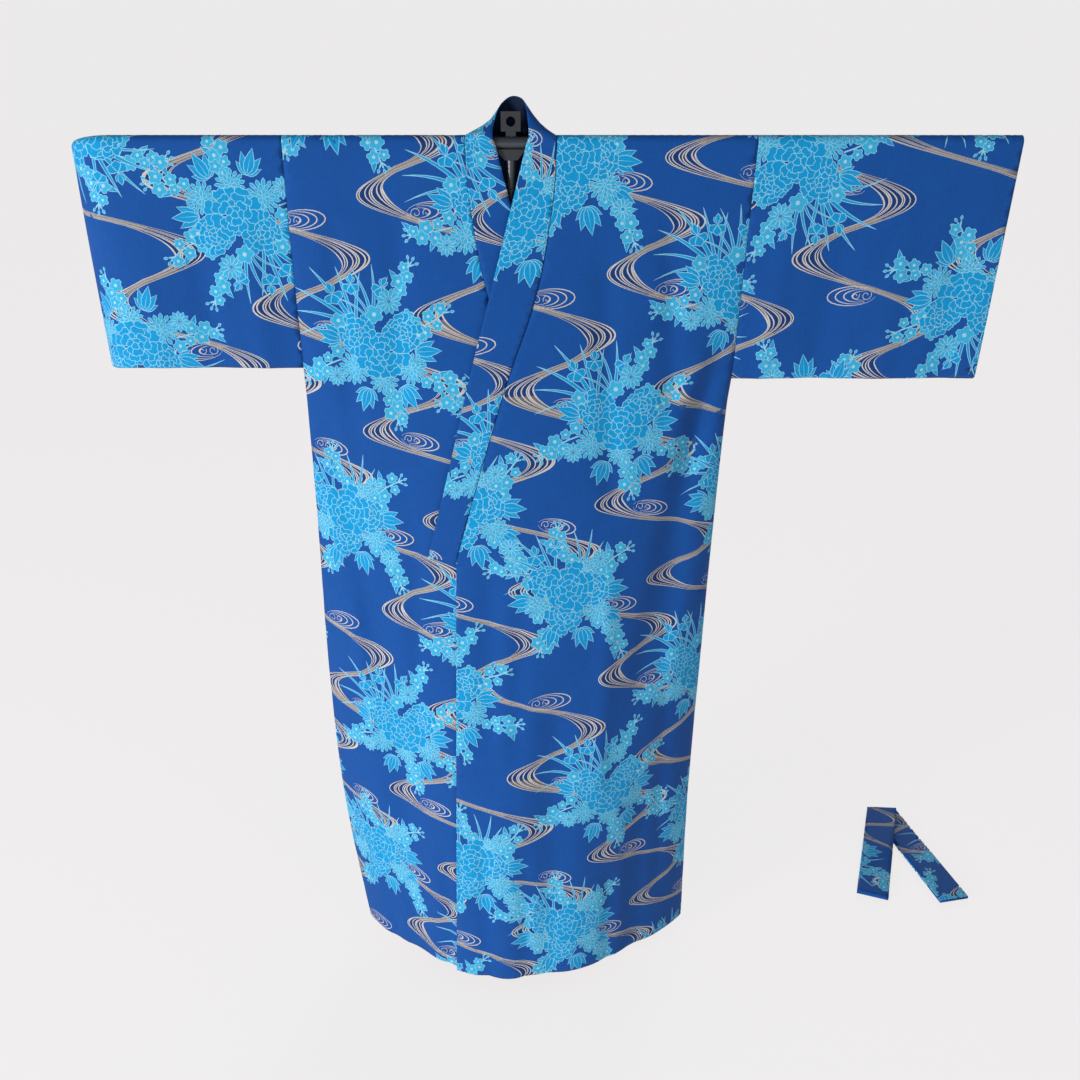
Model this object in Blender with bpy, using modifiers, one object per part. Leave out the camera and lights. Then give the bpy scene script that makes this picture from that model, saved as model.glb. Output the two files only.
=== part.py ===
"""Cotton yukata robe hanging open-sleeved on a T-shaped display stand, with its folded belt on the floor.

Metres, +Z up. The robe's front faces -Y and the wearer's left is +X. The origin is on the floor
under the stand's pole. Each cloth piece is an open sheet laid on one garment form and thickened
inwards: the body is a tube that is flat at the rod and rounds out towards the hem.
"""

import math
from collections import namedtuple

import bmesh
import bpy
from mathutils import Vector

# Cloth
CLOTH = 0.0012
COLLAR_CLOTH = 0.003
SEAM_GAP = 0.0003
ROD_HEIGHT = 1.390
ROD_RADIUS = 0.008
OVER_ROD = 0.0102
SHOULDER = ROD_HEIGHT + OVER_ROD
HEM = 0.035
ROD_ARC = OVER_ROD * math.pi / 2

# The body tube. left, right: side edges. front, back: how far the crest stands from the rod's plane.
# edge: half the gap between front and back at the sides. bow: 1 is a pointed curve, 0 a flat one.
Section = namedtuple("Section", "height left right front back edge bow")
SECTIONS = (
    Section(1.390, -0.313, 0.338, 0.0102, 0.0102, 0.0102, 0.60),
    Section(1.250, -0.313, 0.333, 0.028, 0.018, 0.0080, 0.65),
    Section(1.070, -0.311, 0.326, 0.056, 0.030, 0.0050, 0.70),
    Section(1.020, -0.311, 0.322, 0.063, 0.033, 0.0012, 0.72),
    Section(0.850, -0.311, 0.315, 0.086, 0.042, 0.0010, 0.75),
    Section(0.550, -0.314, 0.307, 0.118, 0.053, 0.0010, 0.80),
    Section(0.300, -0.306, 0.302, 0.141, 0.060, 0.0010, 0.83),
    Section(0.035, -0.278, 0.304, 0.160, 0.066, 0.0010, 0.85),
)
CREST = -0.010

# Soft troughs that run down a wall from top to foot. "fronts" are shared by both overlapping fronts.
Fold = namedtuple("Fold", "wall top_x top_z foot_x foot_z width depth")
FOLDS = (
    Fold("upper", 0.300, 1.130, 0.185, 0.470, 0.024, 0.010),
    Fold("fronts", -0.035, 0.860, -0.045, 0.400, 0.020, 0.005),
    Fold("fronts", 0.070, 0.640, 0.050, 0.035, 0.030, 0.008),
    Fold("upper", 0.215, 0.420, 0.205, 0.035, 0.026, 0.008),
    Fold("under", -0.285, 1.060, -0.215, 0.560, 0.022, 0.006),
    Fold("under", -0.195, 0.560, -0.180, 0.035, 0.028, 0.008),
    Fold("back", -0.280, 1.080, -0.170, 0.420, 0.026, 0.008),
    Fold("back", -0.100, 1.200, -0.115, 0.300, 0.028, 0.006),
    Fold("back", 0.095, 1.150, 0.080, 0.035, 0.028, 0.007),
    Fold("back", 0.290, 1.050, 0.200, 0.500, 0.024, 0.008),
    Fold("back", -0.215, 0.460, -0.205, 0.035, 0.028, 0.007),
)

# The fronts' slanting edges, where the collar is sewn on. seam: the front's edge. free: the
# collar's own edge. Both are for the upper (wearer's left) front, and the under front mirrors them.
Slant = namedtuple("Slant", "height seam free")
SLANTS = (
    Slant(1.390, 0.0630, 0.0215),
    Slant(1.315, 0.0580, 0.0020),
    Slant(1.190, 0.0350, -0.0310),
    Slant(1.070, -0.0070, -0.0630),
    Slant(0.950, -0.0440, -0.0925),
    Slant(0.800, -0.0870, -0.1310),
)
COLLAR_FOOT = 0.800
FRONT_EDGE_AT_HEM = -0.106
UNDER_INSET = 0.0062

# The neckline: half its width at the shoulder, and how far the nape is pushed back.
NECK_HALF = 0.063
NAPE_BACK = 0.034
NAPE_FADE = 0.10
NAPE_FLAT = 0.012
NECK_COLUMNS = (0.0, 0.010, 0.028, 0.046, NECK_HALF)

# The collar round the neck, from the upper side over the nape to the under side.
NeckRow = namedtuple("NeckRow", "seam middle free")
NECK_ROWS = (
    NeckRow((0.0620, -0.0092, 1.3985), (0.0440, -0.0135, 1.4030), (0.0245, -0.0120, 1.3990)),
    NeckRow((0.0605, 0.0000, 1.4040), (0.0430, -0.0030, 1.4125), (0.0235, -0.0040, 1.4180)),
    NeckRow((0.0470, 0.0080, 1.4040), (0.0350, 0.0070, 1.4215), (0.0205, 0.0080, 1.4380)),
    NeckRow((0.0280, 0.0250, 1.4030), (0.0230, 0.0250, 1.4270), (0.0140, 0.0200, 1.4470)),
    NeckRow((0.0000, 0.0335, 1.4025), (0.0000, 0.0340, 1.4260), (0.0000, 0.0260, 1.4490)),
    NeckRow((-0.0280, 0.0250, 1.4030), (-0.0210, 0.0250, 1.4240), (-0.0130, 0.0200, 1.4400)),
    NeckRow((-0.0470, 0.0080, 1.4040), (-0.0330, 0.0070, 1.4160), (-0.0195, 0.0080, 1.4280)),
    NeckRow((-0.0605, 0.0000, 1.4040), (-0.0430, -0.0030, 1.4100), (-0.0235, -0.0040, 1.4130)),
    NeckRow((-0.0620, -0.0092, 1.3985), (-0.0440, -0.0135, 1.4015), (-0.0245, -0.0120, 1.3970)),
)

# Sleeves: straight tubes over the rod, open at the cuff and sewn along the bottom.
Sleeve = namedtuple("Sleeve", "name side length bottom curl_radius curl_length droop")
SLEEVES = (
    Sleeve("sleeve_left", 1, 0.362, 1.060, 0.0, 0.0, 0.0),
    Sleeve("sleeve_right", -1, 0.345, 1.076, 0.065, 0.108, 0.010),
)
SLEEVE_FOOT_HALF = 0.005

# Belt: a sewn sash folded to four layers, then folded once across into two legs.
BELT_WIDTH = 0.060
BELT_LEG = 0.285
BELT_THICK = 0.006
BELT_FOLD_RADIUS = 0.0034
BELT_PLACE = (0.790, 0.345)
BELT_TURN = math.radians(-4)
BELT_SPREAD = math.radians(32)
BELT_LAID_ON = 0.115
BELT_ON_FLOOR = 0.215

# Stand
BASE_RADIUS = 0.120
BASE_THICK = 0.008
LOWER_POLE_RADIUS = 0.005
UPPER_TUBE_RADIUS = 0.007
RING_HEIGHT = 1.326
RING_THICK = 0.004
ROD_HALF_LENGTH = 0.540
TEE_TOP_WIDTH = 0.042
TEE_FOOT_WIDTH = 0.018
TEE_DROP = 0.014
PLATE_WIDTH = 0.027
PLATE_FOOT = 1.4045
PLATE_TOP = 1.4300
PLATE_THICK = 0.004
PLATE_HOLE = 0.0065
FIT_GAP = 0.0003

COTTON = (0.020, 0.105, 0.390)
STEEL_GREY = (0.070, 0.078, 0.095)
DARK_STEEL = (0.022, 0.026, 0.032)


def clear_scene():
    for thing in list(bpy.data.objects):
        bpy.data.objects.remove(thing, do_unlink=True)


def smooth(value, low, high):
    """0 below low, 1 above high, and an even curve between."""
    share = min(max((value - low) / (high - low), 0.0), 1.0)
    return share * share * (3 - 2 * share)


def along(table, height, column):
    """A column of a table whose rows run downwards, read at a height as a smooth curve."""
    rows = sorted(table, key=lambda row: row.height)
    height = min(max(height, rows[0].height), rows[-1].height)
    last = len(rows) - 2
    low = min(sum(row.height <= height for row in rows) - 1, last)
    here, there = rows[low], rows[low + 1]
    before, after = rows[max(low - 1, 0)], rows[min(low + 2, last + 1)]
    span = there.height - here.height
    share = (height - here.height) / span
    value = [getattr(row, column) for row in (before, here, there, after)]
    leave = (value[2] - value[0]) / (there.height - before.height) * span
    arrive = (value[3] - value[1]) / (after.height - here.height) * span
    cube, square = share**3, share**2
    return (
        value[1] * (2 * cube - 3 * square + 1)
        + leave * (cube - 2 * square + share)
        + value[2] * (3 * square - 2 * cube)
        + arrive * (cube - square)
    )


def fold_depth(wall, x, height):
    total = 0.0
    for fold in FOLDS:
        if fold.wall != wall:
            continue
        share = (fold.top_z - height) / (fold.top_z - fold.foot_z)
        middle = fold.top_x + (fold.foot_x - fold.top_x) * share
        ends = smooth(share, 0.0, 0.25)
        if fold.foot_z > HEM:
            ends *= 1 - smooth(share, 0.75, 1.0)
        total += fold.depth * ends * math.exp(-(((x - middle) / fold.width) ** 2))
    return total


def wall_depth(x, height, side):
    """How far the front or back wall stands from the rod's plane."""
    left, right = along(SECTIONS, height, "left"), along(SECTIONS, height, "right")
    reach = (right - CREST) if x > CREST else (CREST - left)
    turn = min(abs(x - CREST) / reach, 1.0) * math.pi / 2
    edge, crest = along(SECTIONS, height, "edge"), along(SECTIONS, height, side)
    swell = max(math.cos(turn), 0.0) ** along(SECTIONS, height, "bow")
    return edge + (crest - edge) * swell, swell


def front_y(x, height, layer):
    depth, swell = wall_depth(x, height, "front")
    depth -= (fold_depth(layer, x, height) + fold_depth("fronts", x, height)) * min(swell * 3, 1.0)
    if layer == "under":
        left = along(SECTIONS, height, "left")
        depth -= UNDER_INSET * smooth(x, left + 0.03, left + 0.13) * smooth(-height, -1.385, -1.300)
    return -depth


def neck_push(x):
    """The nape's bulge across the neckline: 1 at the middle and 0 at the shoulders."""
    return 1 - smooth(abs(x), NAPE_FLAT, NECK_HALF)


def back_y(x, height):
    depth, swell = wall_depth(x, height, "back")
    return depth - fold_depth("back", x, height) * min(swell * 3, 1.0)


def body_point(x, run, layer):
    """A point of a body panel. run is the cloth's length from the shoulder line, negative in front."""
    turn = min(abs(run) / OVER_ROD, math.pi / 2)
    height = ROD_HEIGHT + OVER_ROD * math.cos(turn) - max(abs(run) - ROD_ARC, 0.0)
    over = OVER_ROD * math.sin(turn)
    below = min(height, ROD_HEIGHT)
    if run < 0:
        return Vector((x, front_y(x, below, layer) if turn == math.pi / 2 else -over, height))
    y = back_y(x, below) if turn == math.pi / 2 else over
    return Vector((x, y + neck_push(x) * NAPE_BACK * math.exp(-((run / NAPE_FADE) ** 2)), height))


def height_to_run(height):
    return ROD_ARC + ROD_HEIGHT - height


def front_edge(height):
    """Where the upper front ends: along the collar's seam, then down the free edge to the hem."""
    if height >= COLLAR_FOOT:
        return along(SLANTS, height, "seam")
    share = (COLLAR_FOOT - height) / (COLLAR_FOOT - HEM)
    return SLANTS[-1].seam + (FRONT_EDGE_AT_HEM - SLANTS[-1].seam) * share


def even(low, high, count):
    return [low + (high - low) * step / count for step in range(count + 1)]


SLANT_HEIGHTS = even(COLLAR_FOOT, ROD_HEIGHT, 10)
FRONT_HEIGHTS = even(HEM, COLLAR_FOOT, 11)[:-1] + SLANT_HEIGHTS
BACK_HEIGHTS = even(HEM, ROD_HEIGHT, 17)
OVER_ROD_RUNS = even(0.0, ROD_ARC, 3)


def new_object(name, mesh, material, collection):
    made = bpy.data.objects.new(name, mesh)
    collection.objects.link(made)
    made.data.materials.append(material)
    return made


def thicken(made, thickness):
    solid = made.modifiers.new("cloth thickness", "SOLIDIFY")
    solid.thickness = thickness
    solid.offset = -1
    solid.use_even_offset = False


def grid_mesh(name, columns, rows, place, keep=None):
    """A grid of cells whose corner at a column and a row is put at place(column, row)."""
    bm = bmesh.new()
    bmesh.ops.create_grid(bm, x_segments=columns, y_segments=rows, size=0.5)
    spots = {}
    for vert in bm.verts:
        spots[vert] = (round((vert.co.x + 0.5) * columns), round((vert.co.y + 0.5) * rows))
    if keep:
        unwanted = []
        for face in bm.faces:
            column = min(spots[vert][0] for vert in face.verts)
            row = min(spots[vert][1] for vert in face.verts)
            if not keep(column, row):
                unwanted.append(face)
        bmesh.ops.delete(bm, geom=unwanted, context="FACES")
    for vert in bm.verts:
        vert.co = place(*spots[vert])
    mesh = bpy.data.meshes.new(name)
    bm.to_mesh(mesh)
    bm.free()
    mesh.shade_smooth()
    return mesh


def build_body(name, side, layer, material, collection):
    """One length of cloth from the front hem over the shoulder to the back hem, open at the neck."""
    neck_columns, wide_columns = len(NECK_COLUMNS) - 1, 12
    columns = neck_columns + wide_columns
    front_runs = [-height_to_run(height) for height in FRONT_HEIGHTS]
    back_runs = [height_to_run(height) for height in reversed(BACK_HEIGHTS)]
    over = OVER_ROD_RUNS[1:-1]
    runs = front_runs + [-run for run in reversed(over)] + [0.0] + over + back_runs
    shoulder_row = runs.index(0.0)

    def place(column, row):
        across = column if side > 0 else columns - column
        run = runs[row]
        height = min(ROD_HEIGHT, ROD_HEIGHT + ROD_ARC - abs(run))
        outer = abs(along(SECTIONS, height, "right" if side > 0 else "left")) - SEAM_GAP / 2
        if run < 0:
            inner = front_edge(height)
            share = (across - neck_columns) / wide_columns
        elif across <= neck_columns:
            return body_point(side * max(NECK_COLUMNS[across], SEAM_GAP / 2), run, layer)
        else:
            inner = NECK_HALF
            share = (across - neck_columns) / wide_columns
        return body_point(side * (inner + (outer - inner) * share), run, layer)

    def keep(column, row):
        across = column if side > 0 else columns - 1 - column
        return row >= shoulder_row or across >= neck_columns

    made = new_object(name, grid_mesh(name, columns, len(runs) - 1, place, keep), material, collection)
    thicken(made, CLOTH)


def sleeve_section(bottom):
    """The sleeve's loop, up the back wall, over the rod, down the front wall and round the bottom."""
    foot = bottom + SLEEVE_FOOT_HALF
    top_steps, wall_steps, foot_steps = 6, 6, 4
    loop = []
    for step in range(top_steps):
        turn = math.pi * step / top_steps
        loop.append((OVER_ROD * math.cos(turn), ROD_HEIGHT + OVER_ROD * math.sin(turn)))
    for step in range(wall_steps):
        share = step / wall_steps
        half = OVER_ROD + (SLEEVE_FOOT_HALF - OVER_ROD) * share
        loop.append((-half, ROD_HEIGHT + (foot - ROD_HEIGHT) * share))
    for step in range(foot_steps):
        turn = math.pi * step / foot_steps
        loop.append((-SLEEVE_FOOT_HALF * math.cos(turn), foot - SLEEVE_FOOT_HALF * math.sin(turn)))
    for step in range(wall_steps):
        share = 1 - step / wall_steps
        half = OVER_ROD + (SLEEVE_FOOT_HALF - OVER_ROD) * share
        loop.append((half, ROD_HEIGHT + (foot - ROD_HEIGHT) * share))
    return loop


def sleeve_point(sleeve, reach, depth, height):
    """A point of the sleeve's tube. reach is the cloth's length out from the armhole seam."""
    seam = abs(along(SECTIONS, min(height, ROD_HEIGHT), "right" if sleeve.side > 0 else "left"))
    straight = sleeve.length - sleeve.curl_length
    if reach <= straight:
        return Vector((sleeve.side * (seam + SEAM_GAP / 2 + reach), depth, height))
    turn = (reach - straight) / sleeve.curl_radius
    radius = sleeve.curl_radius - depth
    out = seam + straight + radius * math.sin(turn)
    sag = sleeve.droop * smooth(reach, straight, sleeve.length)
    return Vector((sleeve.side * out, sleeve.curl_radius - radius * math.cos(turn), height - sag))


def build_sleeve(sleeve, material, collection):
    loop = sleeve_section(sleeve.bottom)
    straight = sleeve.length - sleeve.curl_length
    reaches = even(0.0, straight, 6)
    if sleeve.curl_length:
        reaches += even(straight, sleeve.length, 6)[1:]

    def place(column, row):
        if sleeve.side < 0:
            column = len(reaches) - 1 - column
        depth, height = loop[-row % len(loop)]
        return sleeve_point(sleeve, reaches[column], depth, height)

    mesh = grid_mesh(sleeve.name, len(reaches) - 1, len(loop), place)
    bm = bmesh.new()
    bm.from_mesh(mesh)
    bmesh.ops.remove_doubles(bm, verts=bm.verts, dist=0.00001)
    bm.to_mesh(mesh)
    bm.free()
    made = new_object(sleeve.name, mesh, material, collection)
    thicken(made, CLOTH)


def curve_through(points, steps):
    """Points along a smooth curve that passes through each given point."""
    line = []
    for index in range(len(points) - 1):
        before, here = points[max(index - 1, 0)], points[index]
        there, after = points[index + 1], points[min(index + 2, len(points) - 1)]
        for step in range(steps):
            share = step / steps
            bend = here * 2 + (there - before) * share
            bend += (before * 2 - here * 5 + there * 4 - after) * share**2
            bend += (here * 3 - before - there * 3 + after) * share**3
            line.append(bend / 2)
    line.append(points[-1])
    return line


def slant_rows(side, layer):
    """The collar's rows up a front: its free edge, its middle and its seam, just proud of the cloth."""
    proud = (COLLAR_CLOTH - CLOTH) / 2
    rows = []
    for height in SLANT_HEIGHTS:
        seam = side * (along(SLANTS, height, "seam") - SEAM_GAP)
        free = side * along(SLANTS, height, "free")
        rows.append([
            Vector((x, front_y(x, height, layer) - proud, height))
            for x in (free, (free + seam) / 2, seam)
        ])
    return rows


def build_collar(material, collection):
    """One band, folded double: up the upper front, round the neck and down under it."""
    upper = slant_rows(1, "upper")
    under = slant_rows(-1, "under")[::-1]
    neck = [[Vector(row.free), Vector(row.middle), Vector(row.seam)] for row in NECK_ROWS]
    bends = [upper[-1]] + neck + [under[0]]
    lines = [curve_through([row[place] for row in bends], 2) for place in range(3)]
    rows = upper[:-1] + [list(row) for row in zip(*lines)] + under[1:]

    def place(column, row):
        free, middle, seam = rows[row]
        share = column / 4
        edges = free * (1 - share) * (1 - 2 * share) + seam * share * (2 * share - 1)
        return edges + middle * 4 * share * (1 - share)

    mesh = grid_mesh("collar", 4, len(rows) - 1, place)
    thicken(new_object("collar", mesh, material, collection), COLLAR_CLOTH)


def belt_point(across, run):
    """A point of the belt's middle. run is the cloth's length past the fold, negative in the upper leg."""
    lean = BELT_SPREAD / 2
    beside = across * math.cos(lean) + run * math.sin(lean)
    past = run * math.cos(lean) - across * math.sin(lean)
    bend = BELT_FOLD_RADIUS * math.pi / 2
    lift = BELT_THICK / 2
    turn = max(min(past / BELT_FOLD_RADIUS, math.pi / 2), -math.pi / 2)
    down = max(abs(past) - bend, 0.0)
    rise = lift + BELT_FOLD_RADIUS * (1 - math.sin(turn))
    if past < 0:
        rise -= (rise - lift) * smooth(-past, BELT_LAID_ON, BELT_ON_FLOOR)
    flat = Vector((beside, BELT_FOLD_RADIUS * math.cos(turn) - down))
    cosine, sine = math.cos(BELT_TURN), math.sin(BELT_TURN)
    x = BELT_PLACE[0] + flat.x * cosine - flat.y * sine
    y = BELT_PLACE[1] + flat.x * sine + flat.y * cosine
    return Vector((x, y, rise))


def build_belt(material, collection):
    legs = [-step for step in even(0.035, BELT_LEG, 14)][::-1] + even(-0.03, 0.03, 12)
    legs += even(0.035, BELT_LEG, 8)

    def place(column, row):
        return belt_point(BELT_WIDTH * (column / 6 - 0.5), legs[row])

    made = new_object("belt", grid_mesh("belt", 6, len(legs) - 1, place), material, collection)
    thicken(made, BELT_THICK)
    made.modifiers[0].offset = 0
    return made


def cylinder(name, radius, length, centre, axis, material, collection, sides=24):
    bm = bmesh.new()
    bmesh.ops.create_cone(
        bm, cap_ends=True, segments=sides, radius1=radius, radius2=radius, depth=length
    )
    mesh = bpy.data.meshes.new(name)
    bm.to_mesh(mesh)
    bm.free()
    mesh.shade_smooth()
    mesh.set_sharp_from_angle(angle=math.radians(40))
    made = new_object(name, mesh, material, collection)
    made.location = centre
    if axis == "X":
        made.rotation_euler = (0, math.pi / 2, 0)
    return made


def outline_plate(name, loops, thickness, material, collection):
    """A flat plate that stands in the rod's plane, cut to its outline, with any holes."""
    curve = bpy.data.curves.new(name, "CURVE")
    curve.dimensions = "2D"
    curve.fill_mode = "BOTH"
    curve.extrude = thickness / 2
    for loop in loops:
        line = curve.splines.new("POLY")
        line.points.add(len(loop) - 1)
        for point, (x, y) in zip(line.points, loop):
            point.co = (x, y, 0, 1)
        line.use_cyclic_u = True
    made = bpy.data.objects.new(name, curve)
    collection.objects.link(made)
    curve.materials.append(material)
    made.rotation_euler = (math.pi / 2, 0, 0)
    return made


def build_stand(grey, dark, collection):
    base = cylinder("stand_base", BASE_RADIUS, BASE_THICK, (0, 0, BASE_THICK / 2), "Z", dark, collection, 48)
    rim = base.modifiers.new("rim", "BEVEL")
    rim.width = 0.0015
    rim.segments = 2
    rim.limit_method = "ANGLE"

    pole_foot, pole_head = BASE_THICK + FIT_GAP, RING_HEIGHT - FIT_GAP
    middle = (pole_foot + pole_head) / 2
    cylinder("lower_pole", LOWER_POLE_RADIUS, pole_head - pole_foot, (0, 0, middle), "Z", grey, collection)

    ring_middle = RING_HEIGHT + RING_THICK / 2
    cylinder("pole_ring", 0.0085, RING_THICK, (0, 0, ring_middle), "Z", dark, collection)

    tee_top = ROD_HEIGHT - ROD_RADIUS - FIT_GAP
    tee_foot = tee_top - TEE_DROP
    tube_foot, tube_head = RING_HEIGHT + RING_THICK + FIT_GAP, tee_foot - FIT_GAP
    middle = (tube_foot + tube_head) / 2
    cylinder("upper_tube", UPPER_TUBE_RADIUS, tube_head - tube_foot, (0, 0, middle), "Z", grey, collection)

    wide, narrow = TEE_TOP_WIDTH / 2, TEE_FOOT_WIDTH / 2
    tee = [(-wide, tee_top), (-narrow, tee_foot), (narrow, tee_foot), (wide, tee_top)]
    outline_plate("tee_fitting", [tee], 0.012, dark, collection)

    cylinder("cross_rod", ROD_RADIUS, 2 * ROD_HALF_LENGTH, (0, 0, ROD_HEIGHT), "X", grey, collection)

    half, stem = PLATE_WIDTH / 2, PLATE_WIDTH / 4
    foot = ROD_HEIGHT + ROD_RADIUS + FIT_GAP
    plate = [(-stem, foot), (stem, foot), (stem, PLATE_FOOT), (half, PLATE_FOOT), (half, PLATE_TOP)]
    plate += [(-half, PLATE_TOP), (-half, PLATE_FOOT), (-stem, PLATE_FOOT)]
    hole_height = (PLATE_FOOT + PLATE_TOP) / 2
    turns = [2 * math.pi * step / 24 for step in range(24)]
    hole = [(PLATE_HOLE * math.cos(turn), hole_height + PLATE_HOLE * math.sin(turn)) for turn in turns]
    outline_plate("top_plate", [plate, hole], PLATE_THICK, dark, collection)


def make_material(name, colour, roughness, metallic):
    material = bpy.data.materials.new(name)
    material.use_nodes = True
    shader = material.node_tree.nodes["Principled BSDF"]
    shader.inputs["Base Color"].default_value = (*colour, 1)
    shader.inputs["Roughness"].default_value = roughness
    shader.inputs["Metallic"].default_value = metallic
    material.diffuse_color = (*colour, 1)
    return material


def main():
    clear_scene()
    collection = bpy.data.collections.new("yukata_robe")
    bpy.context.scene.collection.children.link(collection)
    pieces = ("body_left", "body_right", "sleeve_left", "sleeve_right", "collar", "belt")
    cotton = {name: make_material(name, COTTON, 0.85, 0.0) for name in pieces}
    grey = make_material("grey_tube", STEEL_GREY, 0.35, 0.6)
    dark = make_material("dark_fitting", DARK_STEEL, 0.45, 0.3)
    build_body("body_left", 1, "upper", cotton["body_left"], collection)
    build_body("body_right", -1, "under", cotton["body_right"], collection)
    for sleeve in SLEEVES:
        build_sleeve(sleeve, cotton[sleeve.name], collection)
    build_collar(cotton["collar"], collection)
    build_belt(cotton["belt"], collection)
    build_stand(grey, dark, collection)


main()
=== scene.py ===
# %% [markdown]
# # A printed cotton yukata on its stand
# The robe is six pieces of cotton: two body lengths that run over the shoulder from the front hem to
# the back hem, two tube sleeves, one collar band and a folded belt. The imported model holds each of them
# as a plain solid. Here each solid is replaced by a thin shell on the same form, with the figured
# print drawn on it, and the stand's hard pieces keep their shape and get a painted finish.

# %% Load the frame
import math
from collections import namedtuple

import bmesh
import bpy
import numpy as np
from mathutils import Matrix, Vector
from mathutils.geometry import delaunay_2d_cdt


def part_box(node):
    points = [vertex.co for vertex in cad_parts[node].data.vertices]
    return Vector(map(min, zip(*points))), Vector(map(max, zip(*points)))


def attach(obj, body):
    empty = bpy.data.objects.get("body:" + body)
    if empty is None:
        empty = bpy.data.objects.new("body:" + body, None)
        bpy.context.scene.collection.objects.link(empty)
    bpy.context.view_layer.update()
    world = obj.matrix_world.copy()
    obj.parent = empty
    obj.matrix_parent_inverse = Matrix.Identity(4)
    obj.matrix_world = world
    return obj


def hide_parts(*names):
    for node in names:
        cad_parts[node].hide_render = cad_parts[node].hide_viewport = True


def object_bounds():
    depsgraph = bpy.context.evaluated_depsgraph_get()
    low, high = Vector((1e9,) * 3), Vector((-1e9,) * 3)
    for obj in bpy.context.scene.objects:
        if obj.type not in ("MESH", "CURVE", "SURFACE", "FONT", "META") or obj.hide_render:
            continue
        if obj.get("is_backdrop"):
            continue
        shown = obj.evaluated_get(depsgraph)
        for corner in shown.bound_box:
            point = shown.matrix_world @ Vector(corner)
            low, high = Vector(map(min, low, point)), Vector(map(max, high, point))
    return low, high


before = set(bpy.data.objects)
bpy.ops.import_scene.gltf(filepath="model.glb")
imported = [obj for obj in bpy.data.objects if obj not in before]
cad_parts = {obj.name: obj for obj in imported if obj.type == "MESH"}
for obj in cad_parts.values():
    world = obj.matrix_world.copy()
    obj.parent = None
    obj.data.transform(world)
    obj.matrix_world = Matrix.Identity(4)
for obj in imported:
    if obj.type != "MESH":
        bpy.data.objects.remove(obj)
cad_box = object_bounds()
print("nodes:", sorted(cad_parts))

# %% [markdown]
# ## Camera
# A long robe is looked at from just above its shoulders and from close by, so the hem is smaller than
# the shoulders and shows as a U. A 35 mm lens, tilted down, gives that. The camera's place is worked
# out from the rod's height, which is where the cloth hangs from.

# %% Aim the camera
rod_low, rod_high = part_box("cross_rod")
ROD_HEIGHT = (rod_low.z + rod_high.z) / 2
CAMERA_BESIDE, CAMERA_AWAY, CAMERA_OVER_ROD = 0.040, 1.540, 0.064
CAMERA_TILT = math.radians(23.1)

camera_data = bpy.data.cameras.new("camera")
camera_data.lens, camera_data.sensor_width = 35.0, 36.0
camera = bpy.data.objects.new("camera", camera_data)
camera.location = (CAMERA_BESIDE, -CAMERA_AWAY, ROD_HEIGHT + CAMERA_OVER_ROD)
camera.rotation_euler = (math.pi / 2 - CAMERA_TILT, 0, 0)
bpy.context.scene.collection.objects.link(camera)
bpy.context.scene.camera = camera
print("camera at", tuple(round(part, 3) for part in camera.location))

# %% [markdown]
# ## The garment's form
# On its rod the robe is flat at the shoulders and rounds out to an open tube at the hem. The form is
# a short table: at each height, where the side edges are and how far the front and back stand out.
# Every cloth piece is laid on this one form, so that neighbours meet at their seams. The same table
# shapes the solids, which keeps the shells inside them.

# %% The body's sections and its large folds
Section = namedtuple("Section", "height left right front back edge bow")
SECTIONS = tuple(Section(*row) for row in (
    (1.390, -0.313, 0.338, 0.0102, 0.0102, 0.0102, 0.60),
    (1.250, -0.313, 0.333, 0.028, 0.018, 0.0080, 0.65),
    (1.070, -0.311, 0.326, 0.056, 0.030, 0.0050, 0.70),
    (1.020, -0.311, 0.322, 0.063, 0.033, 0.0012, 0.72),
    (0.850, -0.311, 0.315, 0.086, 0.042, 0.0010, 0.75),
    (0.550, -0.314, 0.307, 0.118, 0.053, 0.0010, 0.80),
    (0.300, -0.306, 0.302, 0.141, 0.060, 0.0010, 0.83),
    (0.035, -0.278, 0.304, 0.160, 0.066, 0.0010, 0.85),
))
HEM = SECTIONS[-1].height
CREST = -0.010
OVER_ROD = 0.0102
ROD_ARC = OVER_ROD * math.pi / 2
SEAM_GAP = 0.0003
CLOTH = 0.0010

Fold = namedtuple("Fold", "wall top_x top_z foot_x foot_z width depth")
FOLDS = tuple(Fold(*row) for row in (
    ("upper", 0.300, 1.130, 0.185, 0.470, 0.024, 0.010),
    ("fronts", -0.035, 0.860, -0.045, 0.400, 0.020, 0.005),
    ("fronts", 0.070, 0.640, 0.050, 0.035, 0.030, 0.008),
    ("upper", 0.215, 0.420, 0.205, 0.035, 0.026, 0.008),
    ("under", -0.285, 1.060, -0.215, 0.560, 0.022, 0.006),
    ("under", -0.195, 0.560, -0.180, 0.035, 0.028, 0.008),
    ("back", -0.280, 1.080, -0.170, 0.420, 0.026, 0.008),
    ("back", -0.100, 1.200, -0.115, 0.300, 0.028, 0.006),
    ("back", 0.095, 1.150, 0.080, 0.035, 0.028, 0.007),
    ("back", 0.290, 1.050, 0.200, 0.500, 0.024, 0.008),
    ("back", -0.215, 0.460, -0.205, 0.035, 0.028, 0.007),
))


def smooth(value, low, high):
    """0 below low, 1 above high, and an even curve between."""
    share = np.clip((value - low) / (high - low), 0.0, 1.0)
    return share * share * (3 - 2 * share)


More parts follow.
